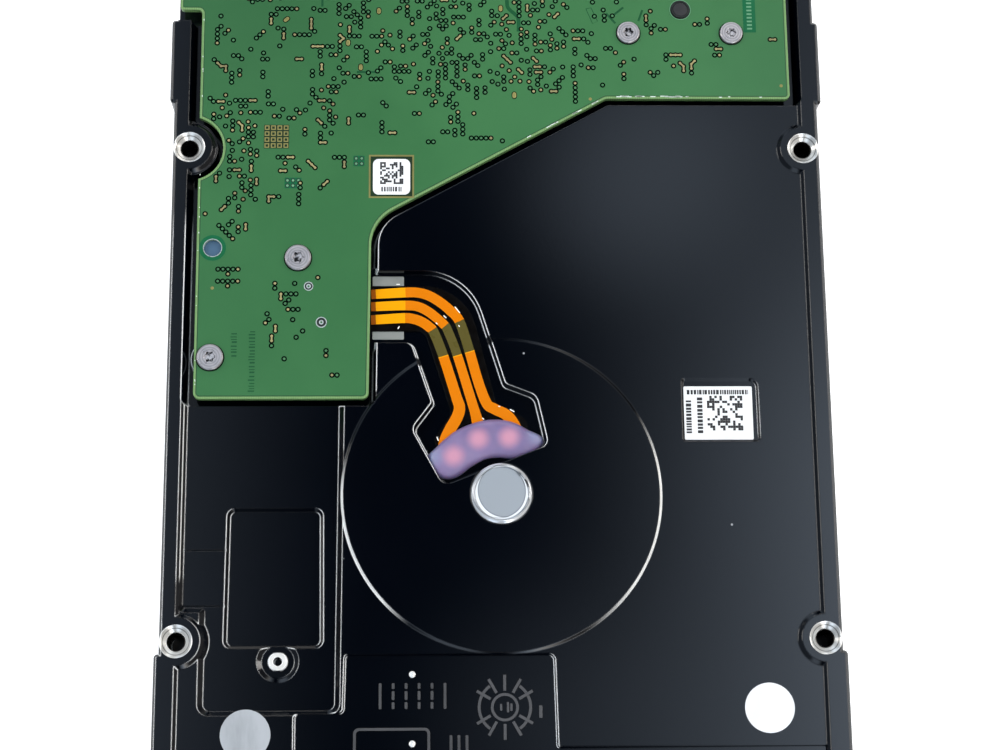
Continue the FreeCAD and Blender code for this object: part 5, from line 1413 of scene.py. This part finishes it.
def add_cast_marks():
    """Cast marks on the lower panel: a row of bars, a dial with spokes and a plain plaque."""
    z_low, z_high = LOWER_PANEL_TOP - 0.02, LOWER_PANEL_TOP + 0.16
    marks = Solid()

    def bar(x, low, high, width=MARK_WIDTH, radius=0.12, crown=0.05):
        marks.slab(rectangle(x - width / 2, x + width / 2, low, high, radius), z_low, z_high, crown, 0.9)

    for i in range(6):
        for low, high in WHOLE_BAR if i in (0, 5) else CUT_BAR:
            bar(BAR_X + BAR_PITCH * i, low, high)
    for x in (-7.58, -6.43, -5.27):
        bar(x, -61.1, -57.7)
    marks.washer(DIAL, 2.05, 1.65, z_low, z_high, 40)
    for first in (125, -55):
        marks.ribbon(arc(DIAL, 3.75, first, first + 110, 24), z_low, z_high - 0.06, MARK_WIDTH)
    for degrees in (30, 60, 90, 120, 150, 210, 240, 270, 300, 330):
        spoke = [towards(DIAL, 2.4, degrees), towards(DIAL, 4.7, degrees)]
        marks.ribbon(spoke, z_low, z_high, MARK_WIDTH)
    for x, half in ((-0.55, 0.5), (0.45, 0.75), (0.95, 0.55)):
        bar(DIAL[0] + x, DIAL[1] - half, DIAL[1] + half, 0.34, 0.1, 0.04)
    bar(5.5, -55.3, -53.5, 0.5, 0.1)
    x_low, x_high, y_low, y_high = PLAQUE
    inner = rectangle(x_low + 0.4, x_high - 0.4, y_low + 0.4, y_high - 0.4, 0.5)
    marks.tube(rectangle(*PLAQUE, 0.8), inner, z_low, z_high)
    marks.piece("cast_marks", "dull_cast", "black_casting")
    dots = Solid()
    for centre in ((-13.2, -48.9), (-13.2, -58.9)):
        dots.slab(circle(centre, 0.5), z_low, z_high - 0.05, 0.06, 0.6)
    dots.piece("bright_dots", "worn_dot", "black_casting", smooth_shaded=True)


# ---------------------------------------------------------------- the object

# The CAD nodes that a plain finish covers
PLAIN_NODES = {
    "screw_steel_satin": ("cover_screws", "axis_screws", "clamp_screws", "inner_screws"),
    "ground_steel": ("spindle_shaft", "bearing_sleeve", "rotor_yoke", "stator_core", "pivot_sleeve",
                     "pivot_shaft", "yoke_standoffs", "crash_stops", "latch_pin"),
    "moulded_black": ("flex_bracket", "head_connector", "actuator_latch", "sata_connector", "board_pin"),
    "felt": ("breather_filter", "air_filter", "desiccant_pack"),
    "chip_package": ("controller_chip", "support_chips", "preamp", "sliders"),
    "nickel_plate": ("lower_yoke", "upper_yoke", "yoke_magnets"),
    "enamelled_copper": ("stator_coils", "voice_coil"),
    "gasket": ("cover_gasket", "crash_stop_sleeves"),
    "ivory_plastic": ("load_ramp", "coil_frame"),
    "insulator_foam": ("board_insulator",),
    "ceramic_parts": ("board_passives",),
    "gold_plate": ("sata_contacts",),
    "stiffener": ("flex_stiffener",),
    "flex_film_black": ("motor_flex",),
    "bonded_magnet": ("rotor_magnet",),
    "amber_film": ("actuator_flex",),
}


def paint_nodes():
    """Gives each CAD node its material."""
    platters = [name for name in NODES if name.startswith("platter_") and name != "platter_spacers"]
    coverings = [(finish(name), nodes) for name, nodes in PLAIN_NODES.items()]
    coverings += [
        (casting_material(), ["base_casting"]),
        (laminate_material(), ["circuit_board"]),
        (screw_material(), ["board_screws"]),
        (cap_material(), ["motor_cap"]),
        (seal_material(), ["hole_seals"]),
        (glue_material(), ["glue_seal"]),
        (paper("label_paper", (240, 240, 240)), ["cover_label", "board_label", "casting_label"]),
        (brushed("brushed_cover", (182, 185, 188), 0.32, (1.0, 0.02, 1.0), 0.25), ["top_cover"]),
        (brushed("spring_steel", (190, 188, 182), 0.28, (1.0, 0.1, 1.0), 0.05), ["suspensions"]),
        (turned_metal("polished_platter", (214, 216, 220), SPINDLE, 0.04), platters),
        (turned_metal("turned_hub", (200, 202, 205), SPINDLE),
         ["spindle_hub", "disk_clamp", "platter_spacers"]),
        (turned_metal("turned_arm", (196, 198, 200), PIVOT, 0.3), ["actuator_block"]),
    ]
    for material, names in coverings:
        for name in names:
            for slot in NODES[name].material_slots:
                slot.material = material


def add_pieces():
    add_solder_mask()
    add_vias()
    add_board_marks()
    add_tracks()
    add_edge_glare()
    add_board_print()
    add_label_print()
    add_cover_print()
    add_leads()
    add_glue()
    add_arm_ribbon()
    add_threads()
    add_cast_marks()


add_camera()
add_floor()
light_studio()
paint_nodes()
add_pieces()
bpy.context.scene.view_settings.view_transform = "Standard"
